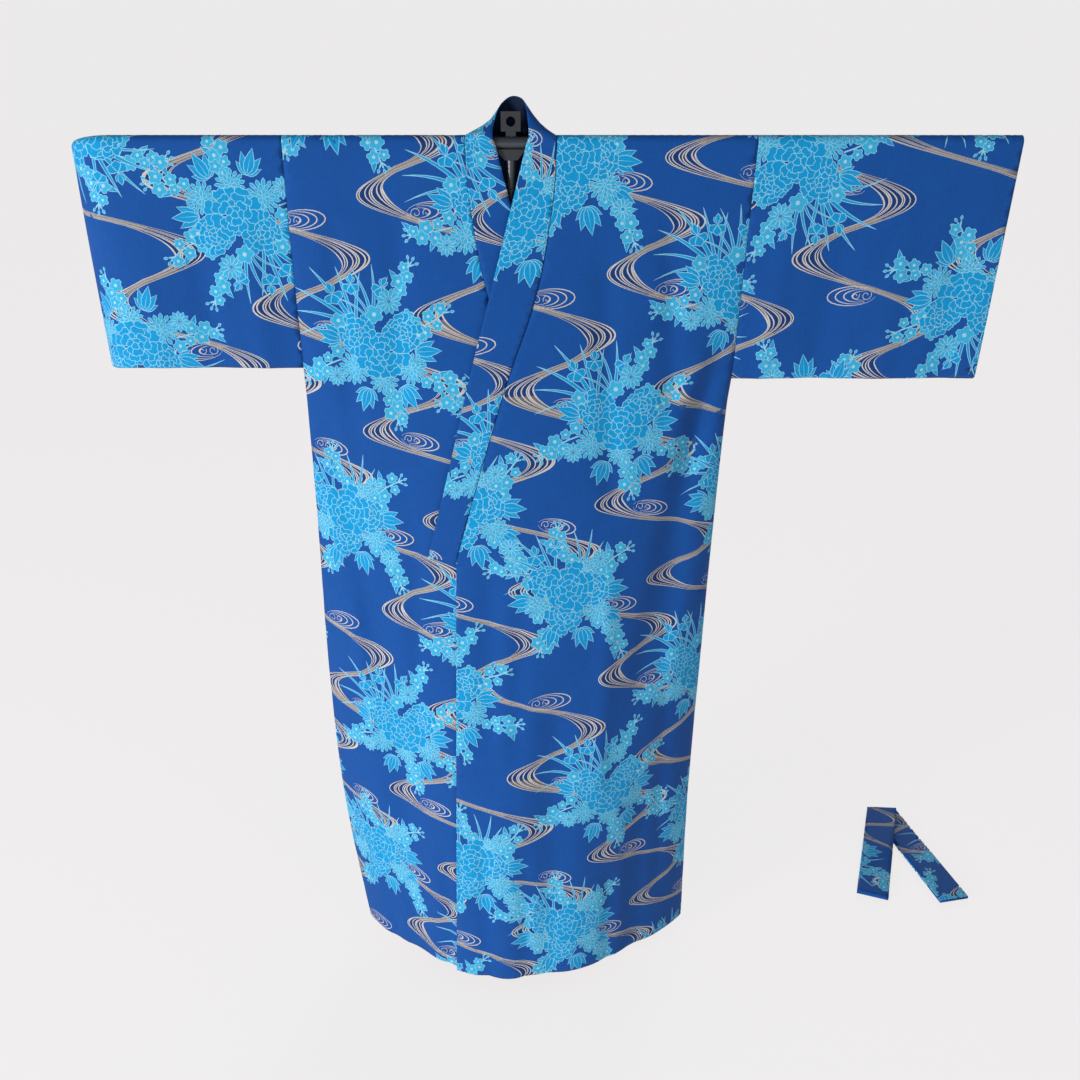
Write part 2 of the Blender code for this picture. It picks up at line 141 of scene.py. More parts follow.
def along(table, height, column):
    """A column of a table whose rows run downwards, read at one height as a smooth curve."""
    rows = sorted(table, key=lambda row: row.height)
    height = min(max(height, rows[0].height), rows[-1].height)
    last = len(rows) - 2
    low = min(sum(row.height <= height for row in rows) - 1, last)
    here, there = rows[low], rows[low + 1]
    before, after = rows[max(low - 1, 0)], rows[min(low + 2, last + 1)]
    span = there.height - here.height
    share = (height - here.height) / span
    value = [getattr(row, column) for row in (before, here, there, after)]
    leave = (value[2] - value[0]) / (there.height - before.height) * span
    arrive = (value[3] - value[1]) / (after.height - here.height) * span
    cube, square = share**3, share**2
    return (
        value[1] * (2 * cube - 3 * square + 1)
        + leave * (cube - 2 * square + share)
        + value[2] * (3 * square - 2 * cube)
        + arrive * (cube - square)
    )


HEIGHTS = np.linspace(HEM, ROD_HEIGHT, 272)


FORM = {
    column: np.array([along(SECTIONS, height, column) for height in HEIGHTS])
    for column in Section._fields[1:]
}


def form(column, height):
    return np.interp(height, HEIGHTS, FORM[column])


# %% [markdown]
# ## Creases
# Cotton that has been folded in a packet keeps small creases on top of its large folds. Each is one
# row: a soft trough or ridge along a line, with its own width and depth, fading at both ends. They
# are uneven on purpose, and the back has its own set.

# %% The body's creases
CREASES = tuple(Fold(*row) for row in (
    ("upper", 0.318, 1.150, 0.262, 0.900, 0.016, 0.0070),
    ("upper", 0.286, 1.120, 0.228, 0.960, 0.013, -0.0047),
    ("upper", 0.225, 1.330, 0.235, 0.950, 0.016, 0.0047),
    ("upper", 0.130, 1.300, 0.150, 0.820, 0.018, 0.0047),
    ("upper", 0.270, 0.840, 0.225, 0.520, 0.015, 0.0054),
    ("upper", 0.150, 0.820, 0.135, 0.330, 0.016, -0.0047),
    ("upper", 0.245, 0.620, 0.250, 0.060, 0.014, 0.0047),
    ("fronts", 0.010, 0.760, 0.000, 0.420, 0.012, 0.0039),
    ("fronts", -0.055, 0.360, -0.050, 0.035, 0.014, 0.0050),
    ("fronts", 0.012, 0.330, 0.016, 0.035, 0.014, 0.0050),
    ("upper", 0.160, 0.240, 0.158, 0.035, 0.013, 0.0047),
    ("under", -0.255, 1.330, -0.235, 0.900, 0.016, 0.0047),
    ("under", -0.160, 1.340, -0.170, 0.960, 0.018, 0.0047),
    ("under", -0.150, 0.900, -0.160, 0.420, 0.014, 0.0047),
    ("under", -0.260, 0.760, -0.235, 0.400, 0.013, -0.0047),
    ("under", -0.235, 0.300, -0.220, 0.035, 0.014, 0.0050),
    ("under", -0.120, 0.300, -0.118, 0.035, 0.012, 0.0047),
    ("back", 0.040, 1.330, 0.030, 0.700, 0.016, 0.0047),
    ("back", -0.050, 1.300, -0.060, 0.820, 0.014, -0.0047),
    ("back", 0.180, 1.340, 0.170, 0.860, 0.018, 0.0054),
    ("back", -0.200, 1.330, -0.210, 0.840, 0.017, 0.0054),
    ("back", 0.255, 0.760, 0.240, 0.100, 0.015, 0.0054),
    ("back", 0.130, 0.700, 0.140, 0.080, 0.014, -0.0047),
    ("back", 0.020, 0.560, 0.025, 0.035, 0.015, 0.0054),
    ("back", -0.140, 0.640, -0.150, 0.120, 0.014, -0.0047),
    ("back", -0.265, 0.800, -0.250, 0.240, 0.013, 0.0047),
))


def fold_depth(wall, x, height):
    total = np.zeros_like(x)
    for fold in FOLDS + CREASES:
        if fold.wall != wall:
            continue
        share = (fold.top_z - height) / (fold.top_z - fold.foot_z)
        middle = fold.top_x + (fold.foot_x - fold.top_x) * share
        ends = smooth(share, 0.0, 0.25)
        if fold.foot_z > HEM:
            ends = ends * (1 - smooth(share, 0.75, 1.0))
        total += fold.depth * ends * np.exp(-(((x - middle) / fold.width) ** 2))
    return total


UNDER_INSET = 0.0062


def wall_depth(x, height, side):
    """How far the front or back wall stands from the rod's plane, and its swell from 0 to 1."""
    left, right = form("left", height), form("right", height)
    reach = np.where(x > CREST, right - CREST, CREST - left)
    turn = np.minimum(np.abs(x - CREST) / reach, 1.0) * math.pi / 2
    edge = form("edge", height)
    swell = np.cos(turn).clip(0) ** form("bow", height)
    return edge + (form(side, height) - edge) * swell, swell


def front_y(x, height, layer):
    depth, swell = wall_depth(x, height, "front")
    folds = fold_depth(layer, x, height) + fold_depth("fronts", x, height)
    depth = depth - folds * np.minimum(swell * 3, 1.0)
    if layer == "under":
        left = form("left", height)
        tucked = smooth(x, left + 0.03, left + 0.13) * smooth(-height, -1.385, -1.300)
        depth = depth - UNDER_INSET * tucked
    return -depth


def back_y(x, height):
    depth, swell = wall_depth(x, height, "back")
    return depth - fold_depth("back", x, height) * np.minimum(swell * 3, 1.0)


# %% [markdown]
# ## From flat cloth to the hanging form
# Print and weave belong to the flat cloth, so every piece is drawn flat first, in metres: one
# coordinate across the cloth and one along it, 0 on the shoulder line and negative down the front.
# Across, the cloth's own length is used and not x, because the walls slope away at the sides: the
# table below measures that length once, so that the print narrows there as real print does.

# %% Measure the cloth across each wall
ACROSS = np.linspace(-0.50, 0.50, 251)


def measure_wall(side):
    """At each height: x at each length across, and the lengths of the two side edges."""
    x_at, left_at, right_at = [], [], []
    for height in HEIGHTS:
        x = np.linspace(form("left", height), form("right", height), 161)
        depth = wall_depth(x, np.full_like(x, height), side)[0]
        steps = np.hypot(np.diff(x), np.diff(depth))
        length = np.concatenate([[0.0], np.cumsum(steps)])
        length -= np.interp(0.0, x, length)
        past_ends = ACROSS - np.clip(ACROSS, length[0], length[-1])
        x_at.append(np.interp(ACROSS, length, x) + past_ends)
        left_at.append(length[0])
        right_at.append(length[-1])
    return np.array(x_at), np.array(left_at), np.array(right_at)


WALLS = {side: measure_wall(side) for side in ("front", "back")}


def across_to_x(side, across, height):
    grid = WALLS[side][0]
    row = np.clip((height - HEIGHTS[0]) / (HEIGHTS[1] - HEIGHTS[0]), 0, len(HEIGHTS) - 1.001)
    column = np.clip((across - ACROSS[0]) / (ACROSS[1] - ACROSS[0]), 0, len(ACROSS) - 1.001)
    low_row, low_column = row.astype(int), column.astype(int)
    down, over = row - low_row, column - low_column
    upper = grid[low_row + 1, low_column] * (1 - over) + grid[low_row + 1, low_column + 1] * over
    lower = grid[low_row, low_column] * (1 - over) + grid[low_row, low_column + 1] * over
    return lower * (1 - down) + upper * down


def x_to_across(side, x, height):
    """The same the other way round, for one height."""
    row = int(round((height - HEIGHTS[0]) / (HEIGHTS[1] - HEIGHTS[0])))
    return float(np.interp(x, WALLS[side][0][row], ACROSS))


hem_width = WALLS["front"][2][0] - WALLS["front"][1][0]
print("front wall across the hem: %.3f m of cloth" % hem_width)

# %% [markdown]
# ## The neckline and the slanting fronts
# From the shoulder the fronts are cut on a slant and the collar is sewn along it. The nape is pushed
# back and up, so that the collar stands round the neck.

# %% The fronts' edges and the nape
Slant = namedtuple("Slant", "height seam free")
SLANTS = tuple(Slant(*row) for row in (
    (1.390, 0.0630, 0.0215),
    (1.315, 0.0580, 0.0020),
    (1.190, 0.0350, -0.0310),
    (1.070, -0.0070, -0.0630),
    (0.950, -0.0440, -0.0925),
    (0.800, -0.0870, -0.1310),
))
COLLAR_FOOT = SLANTS[-1].height
FRONT_EDGE_AT_HEM = -0.106
NECK_HALF = 0.063
NAPE_BACK = 0.034
NAPE_FADE = 0.10
NAPE_FLAT = 0.012


def front_edge(height):
    """Where the upper front ends: along the collar's seam, then down the free edge to the hem."""
    if height >= COLLAR_FOOT:
        return along(SLANTS, height, "seam")
    share = (COLLAR_FOOT - height) / (COLLAR_FOOT - HEM)
    return SLANTS[-1].seam + (FRONT_EDGE_AT_HEM - SLANTS[-1].seam) * share


def hang_body(layer):
    """The function that hangs flat points of one body length on the form."""

    def hang(flat):
        across, run = flat[:, 0], flat[:, 1]
        turn = np.minimum(np.abs(run) / OVER_ROD, math.pi / 2)
        beyond = np.maximum(np.abs(run) - ROD_ARC, 0)
        height = ROD_HEIGHT + OVER_ROD * np.cos(turn) - beyond
        below = np.minimum(height, ROD_HEIGHT)
        in_front = run < 0
        x = np.where(in_front, *(across_to_x(side, across, below) for side in ("front", "back")))
        over = OVER_ROD * np.sin(turn)
        down_front = np.where(beyond > 0, front_y(x, below, layer), -over)
        push = (1 - smooth(np.abs(x), NAPE_FLAT, NECK_HALF)) * NAPE_BACK
        push = push * np.exp(-((run / NAPE_FADE) ** 2))
        down_back = np.where(beyond > 0, back_y(x, below), over) + push
        return np.stack([x, np.where(in_front, down_front, down_back), height], axis=1)

    return hang


# %% [markdown]
# ## Drawing the print
# The print is a stencilled design in few colours: masses of peonies, chrysanthemums, irises and plum
# sprays in bright blue with pale outlines, over bands of fine winding water lines. An image would do
# it, but this way every motif is a small shape function that is drawn afresh, so the edges stay
# crisp at any distance. A point is a complex number: turning and sizing a motif is one multiplication.

# %% Inks and the outlined shape
GROUND, DEEP, SILT, WATER, LINE, FILL, SOFT, PALE = range(8)
OUTSIDE = -1
OUTLINE, THIN_OUTLINE, THINNEST_OUTLINE = 0.0010, 0.0008, 0.0006


def inset(points, by):
    """The outline moved inwards, for a shape that runs anticlockwise."""
    moved = []
    for index, point in enumerate(points):
        chord = points[(index + 1) % len(points)] - points[index - 1]
        moved.append(point + 1j * chord / max(abs(chord), 1e-9) * by)
    return moved


def outlined(shape, at, size, turn, line=OUTLINE, ink=FILL):
    """A shape in one ink with its pale outline: two polygons, the second on top."""
    placed = [at + point * size * complex(math.cos(turn), math.sin(turn)) for point in shape]
    return [(placed, LINE), (inset(placed, line), ink)]


def petal(width, fullness=1.0, blunt=1.0, steps=5):
    """A petal or leaf of length 1 along +x. fullness moves its widest place, blunt rounds its tip."""
    shares = [step / steps for step in range(steps + 1)]
    half = [width / 2 * max(math.sin(math.pi * share**fullness), 0) ** blunt for share in shares]
    lower = [complex(share, -side) for share, side in zip(shares, half)]
    upper = [complex(share, side) for share, side in zip(shares[1:-1], half[1:-1])]
    return lower + upper[::-1]


def lobed(lobes, depth, steps=3):
    """A round flower outline of radius 1 with that many lobes."""
    count = lobes * steps
    points = []
    for step in range(count):
        turn = 2 * math.pi * step / count
        radius = 1 - depth * (1 - abs(math.sin(turn * lobes / 2)) ** 0.7)
        points.append(radius * complex(math.cos(turn), math.sin(turn)))
    return points


def polar(angle, radius=1.0):
    return radius * complex(math.cos(angle), math.sin(angle))


# %% [markdown]
# ## Flowers and leaves
# Each flower is rings of outlined petals, the outer ring first, so that the inner ones lie on top.
# Sizes are in metres and angles in radians; a small fixed jitter from the petal's number keeps them
# from looking stamped.

# %% The motifs
def jitter(number, spread=1.0):
    """The same small offset each time for a number, between -spread and spread."""
    return spread * math.sin(number * 12.9898 + 4.1)


def ruffled(width):
    """A short broad peony petal of length 1 with a dip in its tip."""
    half = [(0.0, 0.12), (0.34, 0.44), (0.72, 0.50), (0.98, 0.27)]
    lower = [complex(share, -side * width) for share, side in half]
    return lower + [0.89 + 0j] + [point.conjugate() for point in lower[::-1]]


PetalRing = namedtuple("PetalRing", "count start length width")
PEONY_RINGS = tuple(PetalRing(*row) for row in (
    (11, 0.54, 0.48, 0.50),
    (9, 0.35, 0.45, 0.50),
    (7, 0.18, 0.40, 0.46),
    (5, 0.03, 0.33, 0.40),
))


def peony(at, size, turn):
    shapes = []
    for ring, (count, start, length, width) in enumerate(PEONY_RINGS):
        for number in range(count):
            angle = turn + 2 * math.pi * (number + 0.5 * ring) / count
            angle += jitter(number * 7 + ring, 0.16)
            reach = length * (1 + jitter(number * 3 + ring * 5 + turn, 0.16))
            wide = width * (1 + jitter(number * 5 + ring * 2, 0.14)) / reach
            root = at + polar(angle, start * size * (1 + jitter(number + ring * 3, 0.08)))
            shapes += outlined(ruffled(wide), root, reach * size, angle + jitter(number * 11, 0.12))
    return shapes + outlined(lobed(3, 0.25, 4), at, 0.16 * size, turn)


def chrysanthemum(at, size, turn):
    shapes = []
    for ring, (count, start, length) in enumerate(((15, 0.42, 0.58), (11, 0.20, 0.52), (7, 0.02, 0.42))):
        for number in range(count):
            angle = turn + 2 * math.pi * (number + 0.5 * ring) / count
            reach = length * (1 + jitter(number * 5 + ring, 0.07))
            leaf = petal(0.26 / reach, 1.5, 0.6, 4)
            root = at + polar(angle, start * size)
            shapes += outlined(leaf, root, reach * size, angle, THIN_OUTLINE, SOFT)
    return shapes


def daisy(at, size, turn):
    shapes = []
    for number in range(12):
        angle = turn + 2 * math.pi * number / 12
        leaf = petal(0.42, 1.6, 0.6, 4)
        shapes += outlined(leaf, at + polar(angle, 0.14 * size), 0.86 * size, angle, THIN_OUTLINE, SOFT)
    return shapes + outlined(lobed(6, 0.0, 1), at, 0.2 * size, turn, THINNEST_OUTLINE)


def plum(at, size, turn):
    shapes = outlined(lobed(5, 0.30), at, size, turn, 0.0009, SOFT)
    return shapes + [([at + polar(turn + math.pi * step / 3, 0.24 * size) for step in range(6)], PALE)]


def leaf(at, size, turn):
    shapes = outlined(petal(0.40, 0.75, 1.0), at, size, turn)
    vein = [0.10 - 0.012j, 0.80 + 0j, 0.10 + 0.012j]
    return shapes + [([at + point * size * polar(turn) for point in vein], LINE)]


def leaf_spray(at, size, turn):
    shapes = []
    for spread, share in ((0.9, 0.62), (-0.9, 0.62), (0.45, 0.85), (-0.45, 0.85), (0.0, 1.0)):
        shapes += leaf(at, size * share, turn + spread)
    return shapes


def blade(at, size, turn, bend):
    """A long iris leaf that bends over towards its tip."""
    steps = 7
    edges = ([], [])
    for step in range(steps + 1):
        share = step / steps
        middle = complex(share, bend * share**2)
        half = 0.030 * (1 - share**3) + 0.003
        edges[0].append(middle - 1j * half)
        edges[1].append(middle + 1j * half)
    return outlined(edges[0] + edges[1][::-1], at, size, turn, 0.0009)


def iris_fan(at, size, turn):
    shapes = []
    for number, spread in enumerate((0.62, -0.58, 0.36, -0.32, 0.14, -0.10)):
        reach = size * (1 - 0.35 * abs(spread)) * (1 + jitter(number, 0.08))
        shapes += blade(at, reach, turn + spread, 0.22 + 0.55 * spread)
    return shapes


def iris(at, size, turn):
    shapes = []
    for spread, share in ((0.5, 0.62), (-0.5, 0.62), (0.0, 0.8)):
        shapes += outlined(petal(0.5, 1.3, 0.8, 4), at, share * size, turn + spread)
    for spread in (2.2, -2.2, math.pi):
        shapes += outlined(petal(0.85, 1.5, 0.6, 4), at, 0.75 * size, turn + spread)
    return shapes


STEM_HALF = 0.0011
BUD_SIZE, STALK_SIZE = 0.0085, 0.0075
BESIDE_TWIG, TWIG_LEAF, TWIG_PLUM, PLUM_SPACING = 0.0066, 0.021, 0.0102, 0.0125


def stem(at, size, turn, bend):
    shares = np.linspace(0, 1, 5)
    middle = [at + size * polar(turn) * complex(share, bend * share**2) for share in shares]
    side = [1j * polar(turn + 2 * bend * share, STEM_HALF) for share in shares]
    lower = [point - offset for point, offset in zip(middle, side)]
    upper = [point + offset for point, offset in zip(middle, side)]
    return [(lower + upper[::-1], LINE)], middle


def plum_spray(at, size, turn):
    """A twig crowded with plum flowers on both sides, a leaf or two, and three stalked buds at its end."""
    bend = jitter(at.real * 90 + at.imag * 70, 0.30)
    shapes, middle = stem(at, size, turn, bend)
    tip, heading = middle[-1], turn + 2 * bend
    for side in (-0.65, 0.05, 0.70):
        stalk, ends = stem(tip - polar(heading, 0.003), STALK_SIZE, heading + side, 0.0)
        bud = petal(0.55, 1.1, 1.0, 4)
        shapes += stalk + outlined(bud, ends[-1], BUD_SIZE, heading + side, THIN_OUTLINE, SOFT)
    count = max(3, round(size / PLUM_SPACING))
    for number in range(count):
        share = 0.22 + 0.76 * (number + 0.5) / count
        side = 1 if number % 2 else -1
        across = BESIDE_TWIG * side * (1 + jitter(number + size * 70, 0.45))
        place = at + size * polar(turn) * complex(share, bend * share**2) + 1j * polar(turn) * across
        if number % 3 == 1:
            shapes += leaf(place, TWIG_LEAF, turn + 0.9 * side)
        plum_size = TWIG_PLUM * (1 + jitter(number * 3 + size * 90, 0.16))
        shapes += plum(place, plum_size, turn + number * 1.7)
    return shapes


MOTIFS = {
    "peony": peony,
    "chrysanthemum": chrysanthemum,
    "daisy": daisy,
    "plum": plum,
    "leaves": leaf_spray,
    "iris_fan": iris_fan,
    "iris": iris,
    "spray": plum_spray,
}

# %% [markdown]
# ## The two flower masses
# The cloth repeats two different masses in turn. Each is a short table of what grows where, in
# centimetres from the middle of the mass, with twigs and leaves first and the big heads last. After
# each motif's name come its growths: how far right and up they are, their size and their turn.

# %% The masses' tables
Growth = namedtuple("Growth", "right up size degrees")
PEONY_MASS = (
    ("spray", (
        (-1.8, 6.0, 4.6, 104), (-5.0, 4.2, 6.8, 166), (4.8, 3.6, 5.2, 46), (4.8, -4.6, 7.0, -40),
        (-3.2, -4.8, 4.4, -98),
    )),
    ("iris_fan", ((-2.0, 2.0, 10.0, 128), (1.5, 2.5, 8.2, 72))),
    ("leaves", (
        (-5.6, -0.8, 4.0, 190), (5.6, 0.4, 4.0, -4), (-2.4, -5.2, 3.8, -105), (2.0, -5.6, 4.0, -78),
        (5.6, -3.4, 3.6, -30),
    )),
    ("iris", ((-5.2, 6.4, 2.2, 100), (-2.2, 7.6, 2.0, 82))),
    ("plum", (
        (-6.2, 2.0, 1.2, 0), (-5.0, 3.4, 1.1, 40), (6.0, 2.4, 1.2, 15), (5.0, 3.6, 1.1, 70),
        (0.4, 5.6, 1.2, 30), (-0.9, 6.3, 1.0, 10), (-4.8, -3.6, 1.1, 50), (4.6, -5.0, 1.1, 20),
    )),
    ("chrysanthemum", ((-4.6, -1.8, 2.4, 10), (4.4, -2.8, 2.4, 30), (2.6, 4.0, 1.9, 50))),
    ("daisy", ((7.0, -6.0, 1.6, 0), (4.9, 5.4, 1.5, 20))),
    ("peony", ((-3.4, 2.2, 2.9, 20), (3.5, 0.9, 2.9, 60), (-0.7, -3.3, 3.3, 200), (0.0, 1.1, 4.1, 95))),
)
IRIS_MASS = (
    ("spray", (
        (2.6, 6.2, 5.6, 74), (5.2, 2.4, 5.2, 12), (1.4, -6.4, 5.0, -84), (5.4, -4.0, 6.4, -24),
        (-5.8, -2.2, 6.0, 196),
    )),
    ("iris_fan", ((-3.2, 2.2, 11.0, 122), (-0.8, 3.2, 8.4, 84))),
    ("leaves", (
        (-5.6, 0.8, 3.8, 160), (5.4, -0.8, 4.0, 4), (-1.8, -6.2, 3.8, -108), (3.4, -5.8, 4.0, -58),
    )),
    ("iris", ((-6.4, 7.2, 2.2, 112), (-3.6, 8.6, 2.0, 90), (0.8, 8.2, 2.0, 62))),
    ("plum", (
        (-5.8, 3.4, 1.2, 0), (6.0, 1.6, 1.2, 25), (4.4, 4.2, 1.1, 60), (5.6, 3.4, 1.0, 10),
        (-6.2, -1.0, 1.1, 40), (1.4, -6.6, 1.1, 30), (2.4, -7.4, 1.0, 5),
    )),
    ("daisy", ((1.8, 6.2, 1.9, 15), (-6.6, -4.6, 1.6, 0))),
    ("chrysanthemum", ((-3.8, -3.4, 2.5, 0), (4.8, -3.2, 2.4, 12), (0.6, -5.0, 2.2, 25))),
    ("peony", ((3.6, 1.8, 2.9, 40), (-3.2, 1.4, 3.0, 130), (0.4, -1.0, 4.0, 80))),
    ("plum", ((-0.4, 4.4, 1.4, 10),)),
)


def grow(mass, at):
    shapes = []
    for motif, rows in mass:
        for growth in (Growth(*row) for row in rows):
            place = at + complex(growth.right, growth.up) / 100
            shapes += MOTIFS[motif](place, growth.size / 100, math.radians(growth.degrees))
    return shapes


# %% [markdown]
# ## Winding water
# A band of eight fine lines winds down the cloth and drifts to one side, so that it ends a whole
# repeat over. On the long runs the lines lie side by side as one narrow bundle over a silty grey. At
# each bend they fan out sideways and grow thicker, over a dark ground. The bends are uneven, and here
# and there a whirl lies beside a run.

# %% The water bands
REPEAT_WIDE, REPEAT_HIGH = 0.44, 0.62
BENDS = (0.098, 0.070, 0.058, 0.094, 0.084, 0.060, 0.072, 0.096)
WATER_LINES = 8
RUN_SPACING, RETURN_SPACING, FAN_SPACING = 0.00090, 0.00115, 0.0056
WATER_THIN, WATER_THICK = 0.00017, 0.00105
FAN_REACH, CROWDING = 0.95, 0.30
WHIRL_SIZE, WHIRL_BESIDE, WHIRL_SPREAD = 0.033, 0.0170, 0.004


def water_middle(phase):
    """The band's middle line. A repeat is eight bends, right and left in turn, and each is pi of phase."""
    bend = BENDS[int(phase // math.pi) % len(BENDS)]
    repeats = phase / (len(BENDS) * math.pi)
    down = REPEAT_HIGH * repeats + 0.013 * math.sin(phase / 4 + 0.8) + 0.005 * math.sin(phase / 2)
    return complex(REPEAT_WIDE * repeats + bend * math.sin(phase), -down)


def water_heading(phase, step=0.02):
    return water_middle(phase + step) - water_middle(phase - step)


def water_point(phase, apart):
    """A point of the line that lies so many places beside the middle line."""
    heading = water_heading(phase)
    bent = abs(math.sin(phase))
    returning = 0.5 - 0.5 * math.cos(phase)
    spacing = RUN_SPACING + (RETURN_SPACING - RUN_SPACING) * returning
    beside = 1j * heading / abs(heading) * spacing * (1 - 0.4 * bent)
    return water_middle(phase) + apart * (beside + FAN_SPACING * bent**2.2)


def line_half(phase):
    """Half a line's usual width: a fifth of the way to its neighbour."""
    heading = water_heading(phase)
    neighbour = water_point(phase, 0.5) - water_point(phase, -0.5)
    apart = abs((heading.conjugate() * neighbour).imag) / abs(heading)
    return min(max(0.21 * apart, WATER_THIN), WATER_THICK)


def ribbon(line, halves):
    """A polygon along a line, with its half width at each point."""
    sides = ([], [])
    for index, point in enumerate(line):
        chord = line[min(index + 1, len(line) - 1)] - line[max(index - 1, 0)]
        across = 1j * chord / max(abs(chord), 1e-9) * halves[index]
        sides[0].append(point - across)
        sides[1].append(point + across)
    return sides[0] + sides[1][::-1]


def line_place(line, phase):
    """Which place a line has in the band: lines crowd and part on the way, which makes streaks."""
    return line - (WATER_LINES - 1) / 2 + CROWDING * math.sin(2.1 * line + 1.25 * phase)


def water_line(start, line, phases):
    return [start + water_point(phase, line_place(line, phase)) for phase in phases]


def water_ground(start, phases, ink):
    """The band's ground between its outer lines."""
    first, last = (water_line(start, line, phases) for line in (0, WATER_LINES - 1))
    return first + last[::-1], ink


def water_band(start):
    """Every line from the middle of one bend to the middle of the next, over the band's ground."""
    even = np.linspace(0, 1, 21)
    shares = even / 2 + (1 - np.cos(math.pi * even)) / 4
    grounds, fans, lines = [], [], []
    for number in range(len(BENDS)):
        phases = math.pi * (number - 0.5 + shares)
        grounds.append(water_ground(start, phases, SILT))
        for place in range(WATER_LINES):
            halves = [line_half(phase) * (1 + jitter(place, 0.25)) for phase in phases]
            lines.append((ribbon(water_line(start, place, phases), halves), WATER))
        fan = math.pi * (number + 0.5) + FAN_REACH * np.linspace(-1, 1, 13)
        fans.append(water_ground(start, fan, DEEP))
    return grounds + fans, lines


def whirl(at, size, turn):
    """A whirl of water: a long oval, arcs nested in its far end, and two small curls in its near end."""
    shapes = []
    for number, reach in enumerate((0.94, 0.66, 0.60, 0.54)):
        share = 1 - 0.17 * number
        line = []
        for step in range(19):
            angle = math.pi * reach * (step / 9 - 1)
            oval = complex(share - 1 + share * math.cos(angle), 0.40 * share * math.sin(angle))
            line.append(at + size * oval * polar(turn))
        halves = [WATER_THIN + 0.0007 * math.sin(math.pi * step / 18) ** 2 for step in range(19)]
        shapes.append((ribbon(line, halves), WATER))
    for middle, radius in ((-0.60, 0.23), (-0.16, 0.17)):
        curl = [middle + polar(3.6 - step * 0.62, radius * (1 - step / 15)) for step in range(12)]
        shapes.append((ribbon([at + size * point * polar(turn) for point in curl], [0.00042] * 12), WATER))
    return shapes


# %% Draw one repeat of the cloth
def draw_repeat():
    """The repeat's layers from the lowest: the fans' dark ground, the water and the flowers."""
    column, row = REPEAT_WIDE / 2, REPEAT_HIGH / 2
    fans, water, flowers = [], [], []
    for start, whirls in ((0.02, (0, 2, 4, 6)), (0.02 + column, (2, 4, 6))):
        band_fans, band_lines = water_band(complex(start, 0))
        fans += band_fans
        water += band_lines
        for number in whirls:
            phase = math.pi * number + jitter(number + start, 0.5)
            heading = water_heading(phase, 0.05)
            beside = 1j * heading / abs(heading) * WHIRL_BESIDE
            size = WHIRL_SIZE + jitter(number, WHIRL_SPREAD)
            water += whirl(start + water_middle(phase) + beside, size, jitter(number, 0.2))
    flowers += grow(IRIS_MASS, complex(0.04, 0.0))
    flowers += grow(PEONY_MASS, complex(-0.03, -0.86 * row))
    flowers += grow(PEONY_MASS, complex(column + 0.03, -0.42 * row))
    flowers += grow(IRIS_MASS, complex(column - 0.01, -1.40 * row))
    return fans, water, flowers


LAYERS = draw_repeat()
print("polygons of one repeat, by layer:", [len(layer) for layer in LAYERS])

# %% [markdown]
# ## Cutting a piece from printed cloth
# To cut a piece, the repeat is laid over its flat outline as often as it fits, everything goes into
# one constrained triangulation together with a fine grid of points, and the triangles inside the
# outline are kept. Each triangle takes the ink of the topmost shape that it lies in. The grid
# lets the sheet bend. The reverse is a plain copy of the outline, one cloth's thickness behind, and
# a narrow rim joins the two, so that the piece is closed.

# %% Triangulate a printed panel
Print = namedtuple("Print", "shift_across shift_along turned")
SAME_POINT = 1e-6
GRID_SPACING, LONGEST_EDGE = 0.0125, 0.012
PRINT_TOLERANCE, WATER_SHARE = 0.00031, 0.5


def laid_print(outline, cloth_print):
    """The polygons of every repeat that reaches the outline's box, as arrays of flat points."""
    low, high = outline.min(axis=0), outline.max(axis=0)
    way = -1 if cloth_print.turned else 1
    origin = np.array([cloth_print.shift_across, cloth_print.shift_along])
    size = np.array([REPEAT_WIDE, REPEAT_HIGH])
    first = np.floor((low - origin) / size).astype(int) - 2
    last = np.ceil((high - origin) / size).astype(int) + 2
    for shapes in LAYERS:
        plain = [(np.array([(p.real, p.imag) for p in line]) * way, ink) for line, ink in shapes]
        boxes = [(line.min(axis=0), line.max(axis=0)) for line, _ in plain]
        for over in range(first[0], last[0] + 1):
            for up in range(first[1], last[1] + 1):
                offset = origin + size * (over, up)
                for (line, ink), (lowest, highest) in zip(plain, boxes):
                    if ((lowest + offset < high) & (highest + offset > low)).all():
                        yield line + offset, ink


def triangulate(outline, polygons):
    """Triangles inside the outline, with their inks and the point numbers of the outline itself."""
    points = [Vector(point) for point in outline]
    faces, inks = [list(range(len(points)))], [GROUND]
    for line, ink in polygons:
        faces.append(list(range(len(points), len(points) + len(line))))
        points += [Vector(point) for point in line]
        inks.append(ink)
    found, _, corners, origins, _, owners = delaunay_2d_cdt(points, [], faces, 0, SAME_POINT, True)
    kept = [(face, inks[max(owner)]) for face, owner in zip(corners, owners) if 0 in owner]
    border = {new for new, olds in enumerate(origins) if any(old < len(outline) for old in olds)}
    return np.array([point[:] for point in found]), kept, border


def ink_borders(kept):
    """Every edge where two inks meet, as start, end: (ink on the left, ink on the right or OUTSIDE)."""
    left = {}
    for (one, two, three), ink in kept:
        left[one, two] = left[two, three] = left[three, one] = ink
    borders = {}
    for (start, end), ink in left.items():
        other = left.get((end, start), OUTSIDE)
        if ink != other and (end, start) not in borders:
            borders[start, end] = (ink, other)
    return borders


